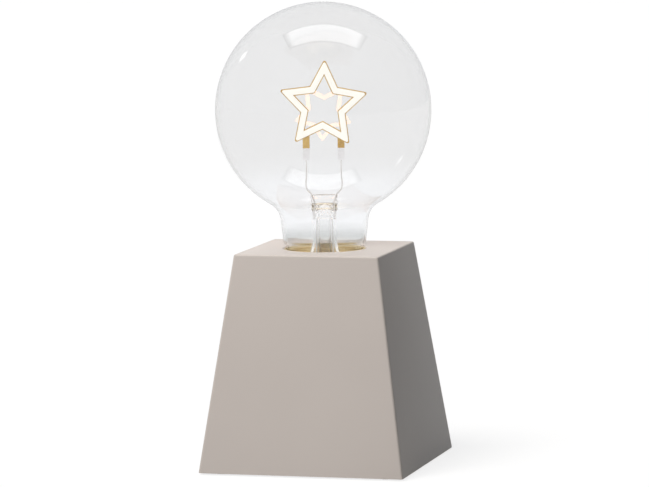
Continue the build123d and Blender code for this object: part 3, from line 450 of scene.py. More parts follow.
def dress(piece, body, finish, replaced):
    """Give a finished piece its material, body, slot and the node that it stands for."""
    if not piece.data.materials:
        piece.data.materials.append(finish)
    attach(piece, body)
    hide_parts(replaced)


def new_material(name, colour, roughness, metallic=0.0):
    """A material with one Principled shader, its constants set on its own sockets."""
    material = bpy.data.materials.new(name)
    material.use_nodes = True
    shader = material.node_tree.nodes["Principled BSDF"]
    shader.inputs["Base Color"].default_value = (*colour, 1)
    shader.inputs["Roughness"].default_value = roughness
    shader.inputs["Metallic"].default_value = metallic
    material.diffuse_color = (*colour, 1)
    return material, material.node_tree, shader


def add_node(tree, kind, **values):
    """A node with these properties."""
    node = tree.nodes.new(kind)
    for name, value in values.items():
        setattr(node, name, value)
    return node


def surface_group():
    """The node group that gives a surface its uneven colour, its uneven gloss and its fine relief."""
    name = "Surface variation"
    if name in bpy.data.node_groups:
        return bpy.data.node_groups[name]
    group = bpy.data.node_groups.new(name, "ShaderNodeTree")
    sockets = group.interface
    sockets.new_socket("Colour", in_out="INPUT", socket_type="NodeSocketColor")
    sockets.new_socket("Second colour", in_out="INPUT", socket_type="NodeSocketColor")
    for label, value in (
        ("Patch scale", 20.0), ("Grain scale", 900.0), ("Stretch", 1.0), ("Relief", 0.1),
        ("Roughness low", 0.3), ("Roughness high", 0.4),
    ):
        socket = sockets.new_socket(label, in_out="INPUT", socket_type="NodeSocketFloat")
        socket.default_value = value
    sockets.new_socket("Colour", in_out="OUTPUT", socket_type="NodeSocketColor")
    sockets.new_socket("Roughness", in_out="OUTPUT", socket_type="NodeSocketFloat")
    sockets.new_socket("Normal", in_out="OUTPUT", socket_type="NodeSocketVector")
    given = add_node(group, "NodeGroupInput")
    put_out = add_node(group, "NodeGroupOutput")
    place = add_node(group, "ShaderNodeTexCoord")
    lengthen = add_node(group, "ShaderNodeCombineXYZ")
    stretched = add_node(group, "ShaderNodeVectorMath", operation="MULTIPLY")
    patches = add_node(group, "ShaderNodeTexNoise")
    grain = add_node(group, "ShaderNodeTexNoise")
    spread = add_node(group, "ShaderNodeMapRange", interpolation_type="SMOOTHSTEP")
    blend = add_node(group, "ShaderNodeMix", data_type="RGBA")
    gloss = add_node(group, "ShaderNodeMapRange")
    relief = add_node(group, "ShaderNodeBump")
    relief.inputs["Distance"].default_value = 0.02 * MM
    patches.inputs["Detail"].default_value = 3.0
    grain.inputs["Detail"].default_value = 4.0
    spread.inputs["From Min"].default_value = 0.35
    spread.inputs["From Max"].default_value = 0.65
    lengthen.inputs["X"].default_value = 1.0
    lengthen.inputs["Y"].default_value = 1.0
    link = group.links.new
    link(given.outputs["Stretch"], lengthen.inputs["Z"])
    link(place.outputs["Object"], stretched.inputs[0])
    link(lengthen.outputs["Vector"], stretched.inputs[1])
    link(place.outputs["Object"], patches.inputs["Vector"])
    link(stretched.outputs["Vector"], grain.inputs["Vector"])
    link(given.outputs["Patch scale"], patches.inputs["Scale"])
    link(given.outputs["Grain scale"], grain.inputs["Scale"])
    link(patches.outputs["Fac"], spread.inputs["Value"])
    link(spread.outputs["Result"], blend.inputs["Factor"])
    link(given.outputs["Colour"], blend.inputs["A"])
    link(given.outputs["Second colour"], blend.inputs["B"])
    link(grain.outputs["Fac"], gloss.inputs["Value"])
    link(given.outputs["Roughness low"], gloss.inputs["To Min"])
    link(given.outputs["Roughness high"], gloss.inputs["To Max"])
    link(grain.outputs["Fac"], relief.inputs["Height"])
    link(given.outputs["Relief"], relief.inputs["Strength"])
    link(blend.outputs["Result"], put_out.inputs["Colour"])
    link(gloss.outputs["Result"], put_out.inputs["Roughness"])
    link(relief.outputs["Normal"], put_out.inputs["Normal"])
    return group


def surface_material(name, colour, roughness, metallic=0.0, second=None, patch=20.0, grain=900.0,
                     stretch=1.0, relief=0.1, coloured=True):
    """A material whose colour, gloss and relief vary over its surface."""
    material, tree, shader = new_material(name, colour, roughness[0], metallic)
    if second is None:
        second = [min(1.0, part * 1.07) for part in colour]
    vary = add_node(tree, "ShaderNodeGroup", node_tree=surface_group())
    vary.inputs["Colour"].default_value = (*colour, 1)
    vary.inputs["Second colour"].default_value = (*second, 1)
    vary.inputs["Patch scale"].default_value = patch
    vary.inputs["Grain scale"].default_value = grain
    vary.inputs["Stretch"].default_value = stretch
    vary.inputs["Relief"].default_value = relief
    vary.inputs["Roughness low"].default_value = roughness[0]
    vary.inputs["Roughness high"].default_value = roughness[1]
    if coloured:
        tree.links.new(vary.outputs["Colour"], shader.inputs["Base Color"])
    tree.links.new(vary.outputs["Roughness"], shader.inputs["Roughness"])
    tree.links.new(vary.outputs["Normal"], shader.inputs["Normal"])
    return material, tree, shader


def satin_greige():
    """The housing's satin moulding."""
    colour = bpy.context.scene.lamp_housing.colour
    material, tree, shader = surface_material(
        "satin_greige", colour, (0.36, 0.46), second=[part * 1.025 for part in colour],
        patch=14.0, grain=1400.0, relief=0.12,
    )
    shader.inputs["Specular IOR Level"].default_value = 0.42
    return material


def pale_gold():
    """Polished gold-coloured metal with faint drawing lines."""
    colour = bpy.context.scene.lamp_collar.colour
    return surface_material(
        "pale_gold", colour, (0.3, 0.46), metallic=1.0, second=[0.9 * part for part in colour],
        patch=60.0, grain=260.0, stretch=9.0, relief=0.25,
    )[0]


def gilt_strip():
    """The star carrier's stamped strip, plated in a deeper gold."""
    return surface_material(
        "gilt_strip", bpy.context.scene.lamp_star.carrier_colour, (0.22, 0.36), metallic=1.0,
        second=(0.62, 0.37, 0.09), patch=120.0, grain=700.0, stretch=4.0, relief=0.2,
    )[0]


def blown_glass(name, tint, waves, roughness=0.0):
    """Clear glass with the slight waves of a blown or drawn wall."""
    material, tree, shader = new_material(name, tint, roughness)
    shader.inputs["Transmission Weight"].default_value = 1.0
    shader.inputs["IOR"].default_value = 1.5
    vary = add_node(tree, "ShaderNodeGroup", node_tree=surface_group())
    vary.inputs["Grain scale"].default_value = waves
    vary.inputs["Relief"].default_value = 0.35
    tree.links.new(vary.outputs["Normal"], shader.inputs["Normal"])
    return material


def let_out(material, bounces):
    """Let light that has bounced this often pass straight through, so that glass inside glass isn't
    dark where its many walls would use up all the bounces."""
    tree = material.node_tree
    rays = add_node(tree, "ShaderNodeLightPath")
    often = add_node(tree, "ShaderNodeMath", operation="GREATER_THAN")
    often.inputs[1].default_value = bounces - 0.5
    clear = add_node(tree, "ShaderNodeBsdfTransparent")
    either = add_node(tree, "ShaderNodeMixShader")
    link = tree.links.new
    link(rays.outputs["Ray Depth"], often.inputs[0])
    link(often.outputs[0], either.inputs["Fac"])
    link(tree.nodes["Principled BSDF"].outputs[0], either.inputs[1])
    link(clear.outputs[0], either.inputs[2])
    link(either.outputs[0], tree.nodes["Material Output"].inputs["Surface"])


def paint_glass_shade_by_height(material, tint, sizes):
    """Painted shade and light on the glass by height: greyer where the neck draws in, clearer in the mouth and the
    throat, and the painted grey tint above.
    """
    tree = material.node_tree
    place = add_node(tree, "ShaderNodeTexCoord")
    parts = add_node(tree, "ShaderNodeSeparateXYZ")
    share = add_node(tree, "ShaderNodeMapRange")
    share.inputs["From Min"].default_value = sizes.collar_height
    share.inputs["From Max"].default_value = sizes.painted_band_top
    bands = add_node(tree, "ShaderNodeValToRGB")
    stops = bands.color_ramp.elements
    stops[0].position, stops[0].color = 0.0, (*sizes.mouth_painted_light, 1)
    stops[1].position, stops[1].color = 1.0, (*tint, 1)
    for position, colour in (
        (0.04, sizes.mouth_painted_light), (0.09, sizes.neck_painted_shade), (0.14, sizes.neck_painted_shade),
        (0.27, sizes.throat_painted_light), (0.7, sizes.throat_painted_light),
    ):
        stop = stops.new(position)
        stop.color = (*colour, 1)
    link = tree.links.new
    link(place.outputs["Object"], parts.inputs[0])
    link(parts.outputs["Z"], share.inputs["Value"])
    link(share.outputs["Result"], bands.inputs["Fac"])
    link(bands.outputs["Color"], tree.nodes["Principled BSDF"].inputs["Base Color"])


def glowing_layer(name, colour, glow, strength):
    """Silicone with phosphor, lit by the chips under it."""
    material, tree, shader = surface_material(
        name, colour, (0.35, 0.5), patch=300.0, grain=2500.0, relief=0.1
    )
    uneven = add_node(tree, "ShaderNodeGroup", node_tree=surface_group())
    uneven.inputs["Colour"].default_value = (*glow, 1)
    uneven.inputs["Second colour"].default_value = (*[part * 0.96 for part in glow], 1)
    uneven.inputs["Patch scale"].default_value = 300.0
    tree.links.new(uneven.outputs["Colour"], shader.inputs["Emission Color"])
    shader.inputs["Emission Strength"].default_value = strength
    return material


def banded_jacket():
    """A cell's plain shiny jacket."""
    material, tree, shader = surface_material(
        "cell_jacket", (0.55, 0.56, 0.57), (0.22, 0.3), patch=30.0, grain=500.0, relief=0.05
    )
    return material


CARRIED_FINISHES = {
    # Its own near-black, lifted a little as painted light so that the underside reads in the dim light beneath the
    # lamp.
    "dark_moulding": dict(
        colour=(0.052, 0.050, 0.048), roughness=(0.46, 0.62), second=(0.062, 0.059, 0.056),
        patch=40.0, grain=1900.0, relief=0.5,
    ),
    "black_moulding": dict(colour=(0.016, 0.016, 0.016), roughness=(0.4, 0.52), grain=2600.0, relief=0.3),
    # The disc's tan and the cement's off-white are their own colours, lightened as painted light for the light that
    # the glass and the deep socket keep from them.
    "insulating_disc": dict(
        colour=(0.74, 0.67, 0.54), roughness=(0.55, 0.7), second=(0.80, 0.74, 0.62), patch=160.0, relief=0.4
    ),
    "white_cement": dict(
        colour=(0.84, 0.81, 0.74), roughness=(0.75, 0.95), second=(0.76, 0.72, 0.65), patch=220.0,
        grain=1100.0, relief=0.9,
    ),
    "tinned_strip": dict(
        colour=(0.72, 0.71, 0.69), roughness=(0.2, 0.34), metallic=1.0, grain=700.0, stretch=6.0, relief=0.2
    ),
    "nickel_strip": dict(
        colour=(0.66, 0.64, 0.60), roughness=(0.22, 0.36), metallic=1.0, grain=500.0, stretch=8.0, relief=0.25
    ),
    "led_die": dict(colour=(0.80, 0.66, 0.22), roughness=(0.3, 0.4), patch=900.0, grain=4000.0, relief=0.2),
    "board_laminate": dict(
        colour=(0.012, 0.085, 0.040), roughness=(0.24, 0.34), second=(0.016, 0.115, 0.052), patch=260.0,
        grain=1500.0, relief=0.3,
    ),
    "drawn_can": dict(
        colour=(0.62, 0.62, 0.64), roughness=(0.18, 0.3), metallic=1.0, grain=400.0, stretch=6.0, relief=0.15
    ),
    "red_lead": dict(
        colour=(0.42, 0.018, 0.014), roughness=(0.36, 0.5), second=(0.50, 0.03, 0.02), grain=1500.0, relief=0.2
    ),
    "black_lead": dict(colour=(0.014, 0.014, 0.015), roughness=(0.36, 0.5), grain=1500.0, relief=0.2),
}

CARRIED_NODES = {
    "dark_moulding": ("bottom_plate", "battery_door", "clamp_ring"),
    "black_moulding": ("switch_body", "switch_slider", "timer_chip", "driver_transistor", "board_resistors"),
    "insulating_disc": ("lead_disc",),
    "white_cement": ("neck_cement",),
    "nickel_strip": ("contact_positive", "contact_negative", "contact_bridge_1", "contact_bridge_2"),
    "led_die": ("led_chips",),
    "board_laminate": ("circuit_board",),
    "drawn_can": ("timing_crystal", "board_capacitor"),
    "red_lead": ("battery_lead_red", "bulb_lead_red"),
    "black_lead": ("battery_lead_black", "bulb_lead_black"),
}


class LAMP_OT_housing(bpy.types.Operator):
    """Model the tapered square housing with its socket, seat and screw bosses"""

    bl_idname = "lamp.housing"
    bl_label = "Housing"

    def execute(self, context):
        sizes = context.scene.lamp_housing
        low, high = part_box("base_shell")
        height = high.z - low.z
        narrowing = sizes.top_width / (high.x - low.x)
        housing = add_box("housing", low, high)
        choose(housing, "FACE", lambda place, normal: normal.z > 0.5)
        bpy.ops.transform.resize(value=(narrowing, narrowing, 1), center_override=(0, 0, high.z))
        choose(housing, "EDGE", lambda place, run: abs(run.z) > 0.5)
        bpy.ops.mesh.bevel(offset=sizes.corner_radius, segments=5, affect="EDGES")
        choose(housing, "FACE", lambda place, normal: normal.z > 0.99)
        bpy.ops.mesh.bevel(offset=sizes.top_radius, segments=5, affect="EDGES")
        choose(housing, "FACE", lambda place, normal: normal.z < -0.99)
        bpy.ops.mesh.bevel(offset=sizes.bottom_radius, segments=3, affect="EDGES")
        clean_mesh(housing)

        wall = sizes.wall
        cavity = add_box(
            "cavity", (low.x + wall, low.y + wall, low.z - wall), (high.x - wall, high.y - wall, high.z - wall)
        )
        inner_narrowing = (sizes.top_width - 2 * wall) / (high.x - low.x - 2 * wall)
        choose(cavity, "FACE", lambda place, normal: normal.z > 0.5)
        bpy.ops.transform.resize(
            value=(inner_narrowing, inner_narrowing, 1), center_override=(0, 0, high.z - wall)
        )
        choose(cavity, "EDGE", lambda place, run: abs(run.z) > 0.5)
        bpy.ops.mesh.bevel(offset=sizes.wall, segments=4, affect="EDGES")
        clean_mesh(cavity)
        cut_away(housing, cavity)
        edge = sizes.rebate_wall
        seat = add_box(
            "seat",
            (low.x + edge, low.y + edge, low.z - edge),
            (high.x - edge, high.y - edge, low.z + sizes.rebate_depth),
        )
        cut_away(housing, seat)
        slope = (high.x - sizes.top_width / 2) / height
        self.add_inside_forms(housing, sizes, low, high, slope)

        hole_line = [
            (sizes.hole_radius, high.z - height / 3),
            (sizes.hole_radius, high.z - sizes.hole_chamfer),
            (sizes.hole_radius + sizes.hole_chamfer, high.z),
            (sizes.hole_radius + sizes.hole_chamfer, high.z + wall),
            (0, high.z + wall),
        ]
        hole = ring_form("hole", round_rings(hole_line), 128, capped=True)
        cut_away(housing, hole)
        smooth(housing, 30)
        dress(housing, "base", satin_greige(), "base_shell")
        return {"FINISHED"}

    def add_inside_forms(self, housing, sizes, low, high, slope):
        """The socket's sleeve and its ribs, and the bosses for the clamp's and the plate's screws."""
        into_top = high.z - sizes.wall / 2
        sleeve_low = high.z - sizes.socket_depth
        add_to(housing, self.post(sizes.hole_radius + sizes.socket_wall, sleeve_low, into_top, 128))

        rib_low = high.z - sizes.wall - sizes.rib_height
        rib_end = high.x - slope * (into_top - low.z) - sizes.wall / 3
        for across, along in ((rib_end, sizes.rib / 2), (sizes.rib / 2, rib_end)):
            add_to(housing, add_box("rib", (-across, -along, rib_low), (across, along, into_top)))

        clamp_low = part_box("bulb_collar")[0].z
        places = [(x, y, 0) for x, y in clamp_screw_places(sizes)]
        boss = self.post(sizes.clamp_boss_radius, clamp_low, into_top, 32)
        hole = self.post(
            sizes.clamp_hole_radius, clamp_low - sizes.wall, clamp_low + sizes.clamp_hole_depth, 24
        )
        for form in copies_at(boss, places):
            add_to(housing, form)
        for form in copies_at(hole, places):
            cut_away(housing, form)

        seat_top = low.z + sizes.rebate_depth
        boss_top = seat_top + sizes.boss_height
        across, along = sizes.boss_place
        places = [(x, y, 0) for x in (-across, across) for y in (-along, along)]
        boss = self.post(sizes.boss_radius, seat_top, boss_top, 32)
        hole = self.post(
            sizes.boss_hole_radius, seat_top - sizes.wall, seat_top + sizes.boss_hole_depth, 24
        )
        for form in copies_at(boss, places):
            add_to(housing, form)
        wall_middle = high.x - slope * sizes.rebate_depth - sizes.wall / 2
        for x, y, z in places:
            hand = math.copysign(1, x)
            near, far = sorted((x, hand * wall_middle))
            half_web = sizes.boss_web / 2
            web = add_box("web", (near, y - half_web, seat_top), (far, y + half_web, boss_top))

            def at_wall(place, run):
                return place.z > boss_top - MM and abs(run.y) > 0.5 and abs(place.x) > abs(x) + MM

            choose(web, "EDGE", at_wall)
            bpy.ops.transform.translate(value=(-hand * slope * sizes.boss_height, 0, 0))
            clean_mesh(web)
            add_to(housing, web)
        for form in copies_at(hole, places):
            cut_away(housing, form)

    def post(self, radius, low, high, sides):
        """A closed round post on the middle line."""
        return ring_form("post", round_rings([(0, high), (radius, high), (radius, low), (0, low)]), sides)


class LAMP_OT_collar(bpy.types.Operator):
    """Model the gold-coloured collar with its rolled ridges and flange"""

    bl_idname = "lamp.collar"
    bl_label = "Collar"

    def execute(self, context):
        sizes = context.scene.lamp_collar
        low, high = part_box("bulb_collar")
        wall, bore = sizes.wall, sizes.radius - sizes.wall
        line = [
            (sizes.radius, low.z + wall),
            (sizes.radius, high.z - wall / 4),
            (sizes.radius - wall / 4, high.z),
            (bore + wall / 4, high.z),
            (bore, high.z - wall / 4),
        ]
        steps = 8
        for index in range(sizes.ridge_count * steps + 1):
            sunk = (1 - math.cos(2 * math.pi * index / steps)) / 2
            drop = sizes.ridge_pitch * (0.4 + index / steps)
            line.append((bore - sizes.ridge_depth * sunk, high.z - drop))
        line += [(bore, low.z), (high.x, low.z), (high.x, low.z + wall)]
        collar = ring_form("collar", round_rings(line), 128, looped=True)
        smooth(collar, 50)
        dress(collar, "base", pale_gold(), "bulb_collar")
        return {"FINISHED"}


class LAMP_OT_globe(bpy.types.Operator):
    """Model the blown globe with its drawn-in neck"""

    bl_idname = "lamp.globe"
    bl_label = "Globe"

    def execute(self, context):
        sizes = context.scene.lamp_bulb
        low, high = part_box("bulb_glass")
        radius = high.x
        centre = high.z - radius
        throat_side = sizes.neck_radius + sizes.throat_radius
        throat_drop = math.sqrt((radius + sizes.throat_radius) ** 2 - throat_side**2)
        throat = (throat_side, centre - throat_drop)
        sphere_angle = math.degrees(math.atan2(throat_drop, throat_side))
        taper = math.degrees(sizes.neck_taper)
        throat_arc = arc(throat, sizes.throat_radius, 180 - taper, 180 - sphere_angle, 14)
        throat_low = throat_arc[0]
        fall = throat_low[1] - sizes.mouth_height
        neck_side = throat_low[0] - fall * math.tan(sizes.neck_taper)
        end = (sizes.end_radius, low.z)
        entry = (sizes.mouth_radius, sizes.collar_height)
        mouth = (neck_side, sizes.mouth_height)
        line = [end]
        line += round_corner(end, entry, mouth, sizes.bend_radius)
        line += round_corner(entry, mouth, throat_low, sizes.bend_radius)
        line += throat_arc
        line += arc((0, centre), radius, -sphere_angle, 90, 72)[1:-1]
        line.append((0, high.z))
        globe = ring_form("globe", round_rings(line), sizes.sides)
        apply_modifier(globe, "SOLIDIFY", thickness=sizes.wall, offset=-1, use_even_offset=True)
        smooth(globe, 60)
        globe.visible_shadow = False
        glass = blown_glass("globe_glass", sizes.colour, 45.0)
        # Paint shade on the neck and light on the throat and mouth, over the painted grey tint.
        paint_glass_shade_by_height(glass, sizes.colour, sizes)
        dress(globe, "base", glass, "bulb_glass")
        return {"FINISHED"}


class LAMP_OT_stem(bpy.types.Operator):
    """Model the glass stem with its flattened press, and the exhaust tube inside"""

    bl_idname = "lamp.stem"
    bl_label = "Stem"

    def execute(self, context):
        sizes = context.scene.lamp_stem
        low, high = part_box("glass_stem")
        rim = high.x
        flare_top = low.z + sizes.flare_lip + sizes.flare_height
        bore = sizes.radius - sizes.wall
        half_width, half_depth = sizes.press_width / 2, sizes.press_depth / 2
        press_low = sizes.tube_top + sizes.shoulder
        edge = 0.8 * MM
        rings = []
        for out, rise in arc((0, 0), edge, 90, 0, 4):
            rings.append((half_width - edge + out, half_depth - edge + out, high.z - edge + rise))
        rings.append((half_width, half_depth, press_low))
        shoulder_steps = 8
        for step in range(1, shoulder_steps + 1):
            share = step / shoulder_steps
            ease = share * share * (3 - 2 * share)
            rings.append((
                half_width + (sizes.radius - half_width) * ease,
                half_depth + (sizes.radius - half_depth) * ease,
                press_low - sizes.shoulder * share,
            ))
        outer = [(sizes.radius, flare_top)]
        outer += arc((rim, flare_top), rim - sizes.radius, 180, 270, 20, sizes.flare_height)[1:]
        outer += [(rim, low.z)]
        inner = arc((rim, flare_top), rim - bore, 270, 180, 20, sizes.flare_height + sizes.flare_lip)[1:]
        cap = sizes.tube_top - sizes.bore_cap
        low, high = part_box("exhaust_tube")
        radius = sizes.exhaust_radius
        pocket = radius + sizes.exhaust_gap
        step = bore - pocket
        inner += arc((pocket, cap - step), step, 0, 90, 4)
        inner += arc((0, high.z - radius), pocket, 0, 90, 12)[:-1] + [(0, high.z + sizes.exhaust_gap)]
        rings += round_rings(outer + inner)
        stem = ring_form("stem", rings, 96, capped=True)
        smooth(stem, 60)
        stem = turn_with_bulb(stem)
        stem.visible_shadow = False
        stem_glass = blown_glass("stem_glass", (0.998, 0.998, 0.995), 90.0, 0.07)
        let_out(stem_glass, 6)
        dress(stem, "base", stem_glass, "glass_stem")

        line = [(0, high.z)]
        line += arc((0, high.z - radius), radius, 90, 0, 12)[1:]
        line += [(radius, low.z + 2.4 * radius), (0.6 * radius, low.z + 1.2 * radius)]
        line += [(0.3 * radius, low.z + 0.2 * radius), (0, low.z)]
        tube = ring_form("exhaust", round_rings(line), 64)
        apply_modifier(tube, "SOLIDIFY", thickness=sizes.exhaust_wall, offset=-1, use_even_offset=False)
        smooth(tube, 60)
        tube.visible_shadow = False
        dress(tube, "base", stem_glass, "exhaust_tube")
        return {"FINISHED"}


def bent_wire(name, points, diameter):
    """A round wire along a smooth curve through these points."""
    begin_piece()
    bpy.ops.curve.primitive_bezier_curve_add()
    wire = bpy.context.object
    curve = wire.data
    curve.dimensions = "3D"
    curve.splines.clear()
    spline = curve.splines.new("BEZIER")
    spline.bezier_points.add(len(points) - 1)
    for knot, point in zip(spline.bezier_points, points):
        knot.co = point
        knot.handle_left_type = "AUTO"
        knot.handle_right_type = "AUTO"
    curve.bevel_depth = diameter / 2
    curve.bevel_resolution = 4
    curve.resolution_u = 8
    curve.use_fill_caps = True
    wire.location = (0, 0, 0)
    bpy.ops.object.convert(target="MESH")
    piece = settle(name)
    clean_mesh(piece)
    return piece


class LAMP_OT_wires(bpy.types.Operator):
    """Model the two support wires and the tinned lugs that carry the star"""

    bl_idname = "lamp.wires"
    bl_label = "Wires and lugs"

    def execute(self, context):
        sizes = context.scene.lamp_wires
        star = context.scene.lamp_star
        stem = context.scene.lamp_stem
        wire_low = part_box("support_wire_left")[0].z
        wire_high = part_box("support_wire_left")[1].z
        press_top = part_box("glass_stem")[1].z
        lug_low, lug_high = (corner.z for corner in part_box("terminal_lug_left"))
        lug_back = star.forward - star.metal / 2
        lug_metal = 0.4 * MM
        forward = lug_back - lug_metal - sizes.diameter / 2
        wire_finish = surface_material(
            "nickel_wire", sizes.colour, (0.28, 0.42), metallic=1.0, grain=700.0, stretch=6.0, relief=0.2
        )[0]
        lug_finish = surface_material(
            "tinned_lug", sizes.lug_colour, (0.18, 0.3), metallic=1.0, grain=500.0, stretch=5.0, relief=0.2
        )[0]
        for side, hand in (("left", -1), ("right", 1)):
            points = [
                (hand * sizes.spacing_low / 2, 0, wire_low),
                (hand * sizes.spacing_low / 2, 0, stem.tube_top - 10 * MM),
                (hand * sizes.spacing_low / 2, 0, stem.tube_top),
                (hand * sizes.spacing_press / 2, 0, press_top),
                (hand * sizes.spacing / 2, -0.5 * MM, press_top + 3 * MM),
                (hand * sizes.spacing / 2, -(0.5 * MM + forward) / 2, (press_top + 3 * MM + lug_low) / 2),
                (hand * sizes.spacing / 2, -forward, lug_low - 0.8 * MM),
                (hand * sizes.spacing / 2, -forward, wire_high),
            ]
            wire = turn_with_bulb(bent_wire(f"wire_{side}", points, sizes.diameter))
            smooth(wire, 50)
            dress(wire, "base", wire_finish, f"support_wire_{side}")

            middle = hand * sizes.spacing / 2
            half_width = 1.65 * MM
            lug = add_box(
                "lug",
                (middle - half_width, -lug_back, lug_low),
                (middle + half_width, -lug_back + lug_metal, lug_high),
            )
            choose(lug, "EDGE", lambda place, run: abs(run.y) > 0.5 and place.z < lug_low + lug_metal)
            bpy.ops.mesh.bevel(offset=sizes.lug_edge, segments=4, affect="EDGES")
            clean_mesh(lug)
            wings = []
            for edge in (-1, 1):
                side_x = sorted((middle + edge * half_width, middle + edge * (half_width - lug_metal / 2)))
                wings.append(add_box(
                    "wing",
                    (side_x[0], -lug_back + lug_metal / 2, lug_low + sizes.lug_edge),
                    (side_x[1], -lug_back + lug_metal + sizes.lug_fold, lug_high - sizes.lug_edge),
                ))
            lug = join_pieces(f"lug_{side}", [lug] + wings)
            apply_modifier(lug, "BEVEL", width=0.06 * MM, segments=2, limit_method="ANGLE")
            smooth(lug, 40)
            lug = turn_with_bulb(lug)
            dress(lug, "base", lug_finish, f"terminal_lug_{side}")
        return {"FINISHED"}


def star_band(name, sizes, inset, depth, back):
    """A flat star-shaped band in the XZ plane, drawn in by a border, from back towards the front."""
    begin_piece()
    corners = 2 * sizes.points
    bpy.ops.mesh.primitive_circle_add(vertices=corners, radius=sizes.tip_radius, fill_type="NGON")
    band = settle(name)

    def at_notch(place, normal):
        step = math.atan2(place.x, place.y) / (math.pi / sizes.points)
        return round(step) % 2 == 1

    choose(band, "VERT", at_notch)
    shrink = sizes.notch_radius / sizes.tip_radius
    bpy.ops.transform.resize(value=(shrink, shrink, 1), center_override=(0, 0, 0))
    choose(band, "FACE", lambda place, normal: True)
    if inset:
        bpy.ops.mesh.inset(thickness=inset, use_even_offset=True)
        bpy.ops.mesh.select_all(action="INVERT")
        bpy.ops.mesh.delete(type="FACE")
        choose(band, "FACE", lambda place, normal: True)
    bpy.ops.mesh.inset(thickness=sizes.stroke - 2 * inset, use_even_offset=True)
    bpy.ops.mesh.delete(type="FACE")
    bpy.ops.mesh.select_mode(type="FACE")
    bpy.ops.mesh.select_all(action="SELECT")
    bpy.ops.mesh.extrude_region_move(TRANSFORM_OT_translate={"value": (0, 0, depth)})
    clean_mesh(band)
    outer_tip = 0.8 * sizes.tip_radius
    choose(band, "EDGE", lambda place, run: abs(run.z) > 0.5 and place.xy.length > outer_tip)
    step = math.pi / sizes.points
    half_tip = math.atan2(
        sizes.notch_radius * math.sin(step), sizes.tip_radius - sizes.notch_radius * math.cos(step)
    )
    bpy.ops.mesh.bevel(
        offset=sizes.tip_rounding / math.tan(half_tip), offset_type="OFFSET", segments=5, affect="EDGES"
    )
    clean_mesh(band)
    band.rotation_euler = (math.pi / 2, 0, 0)
    band = settle(name)
    band.rotation_euler = (0, -sizes.roll, 0)
    band.location = (0, -back, sizes.height)
    return settle(name)


class LAMP_OT_star(bpy.types.Operator):
    """Model the star's stamped carrier and the glowing layer on each of its faces"""

    bl_idname = "lamp.star"
    bl_label = "Star"

    def execute(self, context):
        sizes = context.scene.lamp_star
        wires = context.scene.lamp_wires
        gold = gilt_strip()
        back = sizes.forward - sizes.metal / 2
        plate = star_band("carrier", sizes, 0, sizes.metal, back)
        parts = [plate]
        tab_top = sizes.height - sizes.notch_radius - sizes.stroke / 2
        for hand in (-1, 1):
            middle = hand * wires.spacing / 2
            parts.append(add_box(
                "tab",
                (middle - 1.65 * MM, -back - sizes.metal, sizes.height - sizes.tab_reach),
                (middle + 1.65 * MM, -back, tab_top),
            ))
        plate = join_pieces("carrier", parts)
        apply_modifier(plate, "BEVEL", width=0.06 * MM, segments=2, limit_method="ANGLE")
        smooth(plate, 40)
        dress(turn_with_bulb(plate), "base", gold, "star_plate")

        side_glow = glowing_layer("glowing_side", sizes.side_colour, sizes.side_glow, sizes.side_strength)
        faces = {
            "front": (back + sizes.metal, 1, sizes.front_glow, sizes.front_strength),
            "back": (back, -1, sizes.back_glow, sizes.back_strength),
        }
        for side, (level, direction, glow, strength) in faces.items():
            face_glow = glowing_layer(f"glowing_{side}", sizes.face_colour, glow, strength)
            base_level = level if direction > 0 else level - sizes.layer
            layer = star_band(f"glow_{side}", sizes, sizes.border, sizes.layer, base_level)
            choose(layer, "FACE", lambda place, normal: normal.y * direction < -0.9)
            bpy.ops.mesh.region_to_loop()
            bpy.ops.mesh.bevel(offset=sizes.layer_rounding, segments=3, affect="EDGES")
            clean_mesh(layer)
            layer.data.materials.append(face_glow)
            layer.data.materials.append(side_glow)
            for face in layer.data.polygons:
                face.material_index = 0 if abs(face.normal.y) > 0.9 else 1
            smooth(layer, 50)
            layer = turn_with_bulb(layer)
            dress(layer, "base", face_glow, f"star_phosphor_{side}")
        return {"FINISHED"}


def clamp_screw_places(sizes):
    """Where the clamp ring's screws stand."""
    turn = 2 * math.pi / sizes.clamp_count
    angles = [sizes.clamp_angle + turn * index for index in range(sizes.clamp_count)]
    return [(sizes.clamp_reach * math.cos(angle), sizes.clamp_reach * math.sin(angle)) for angle in angles]


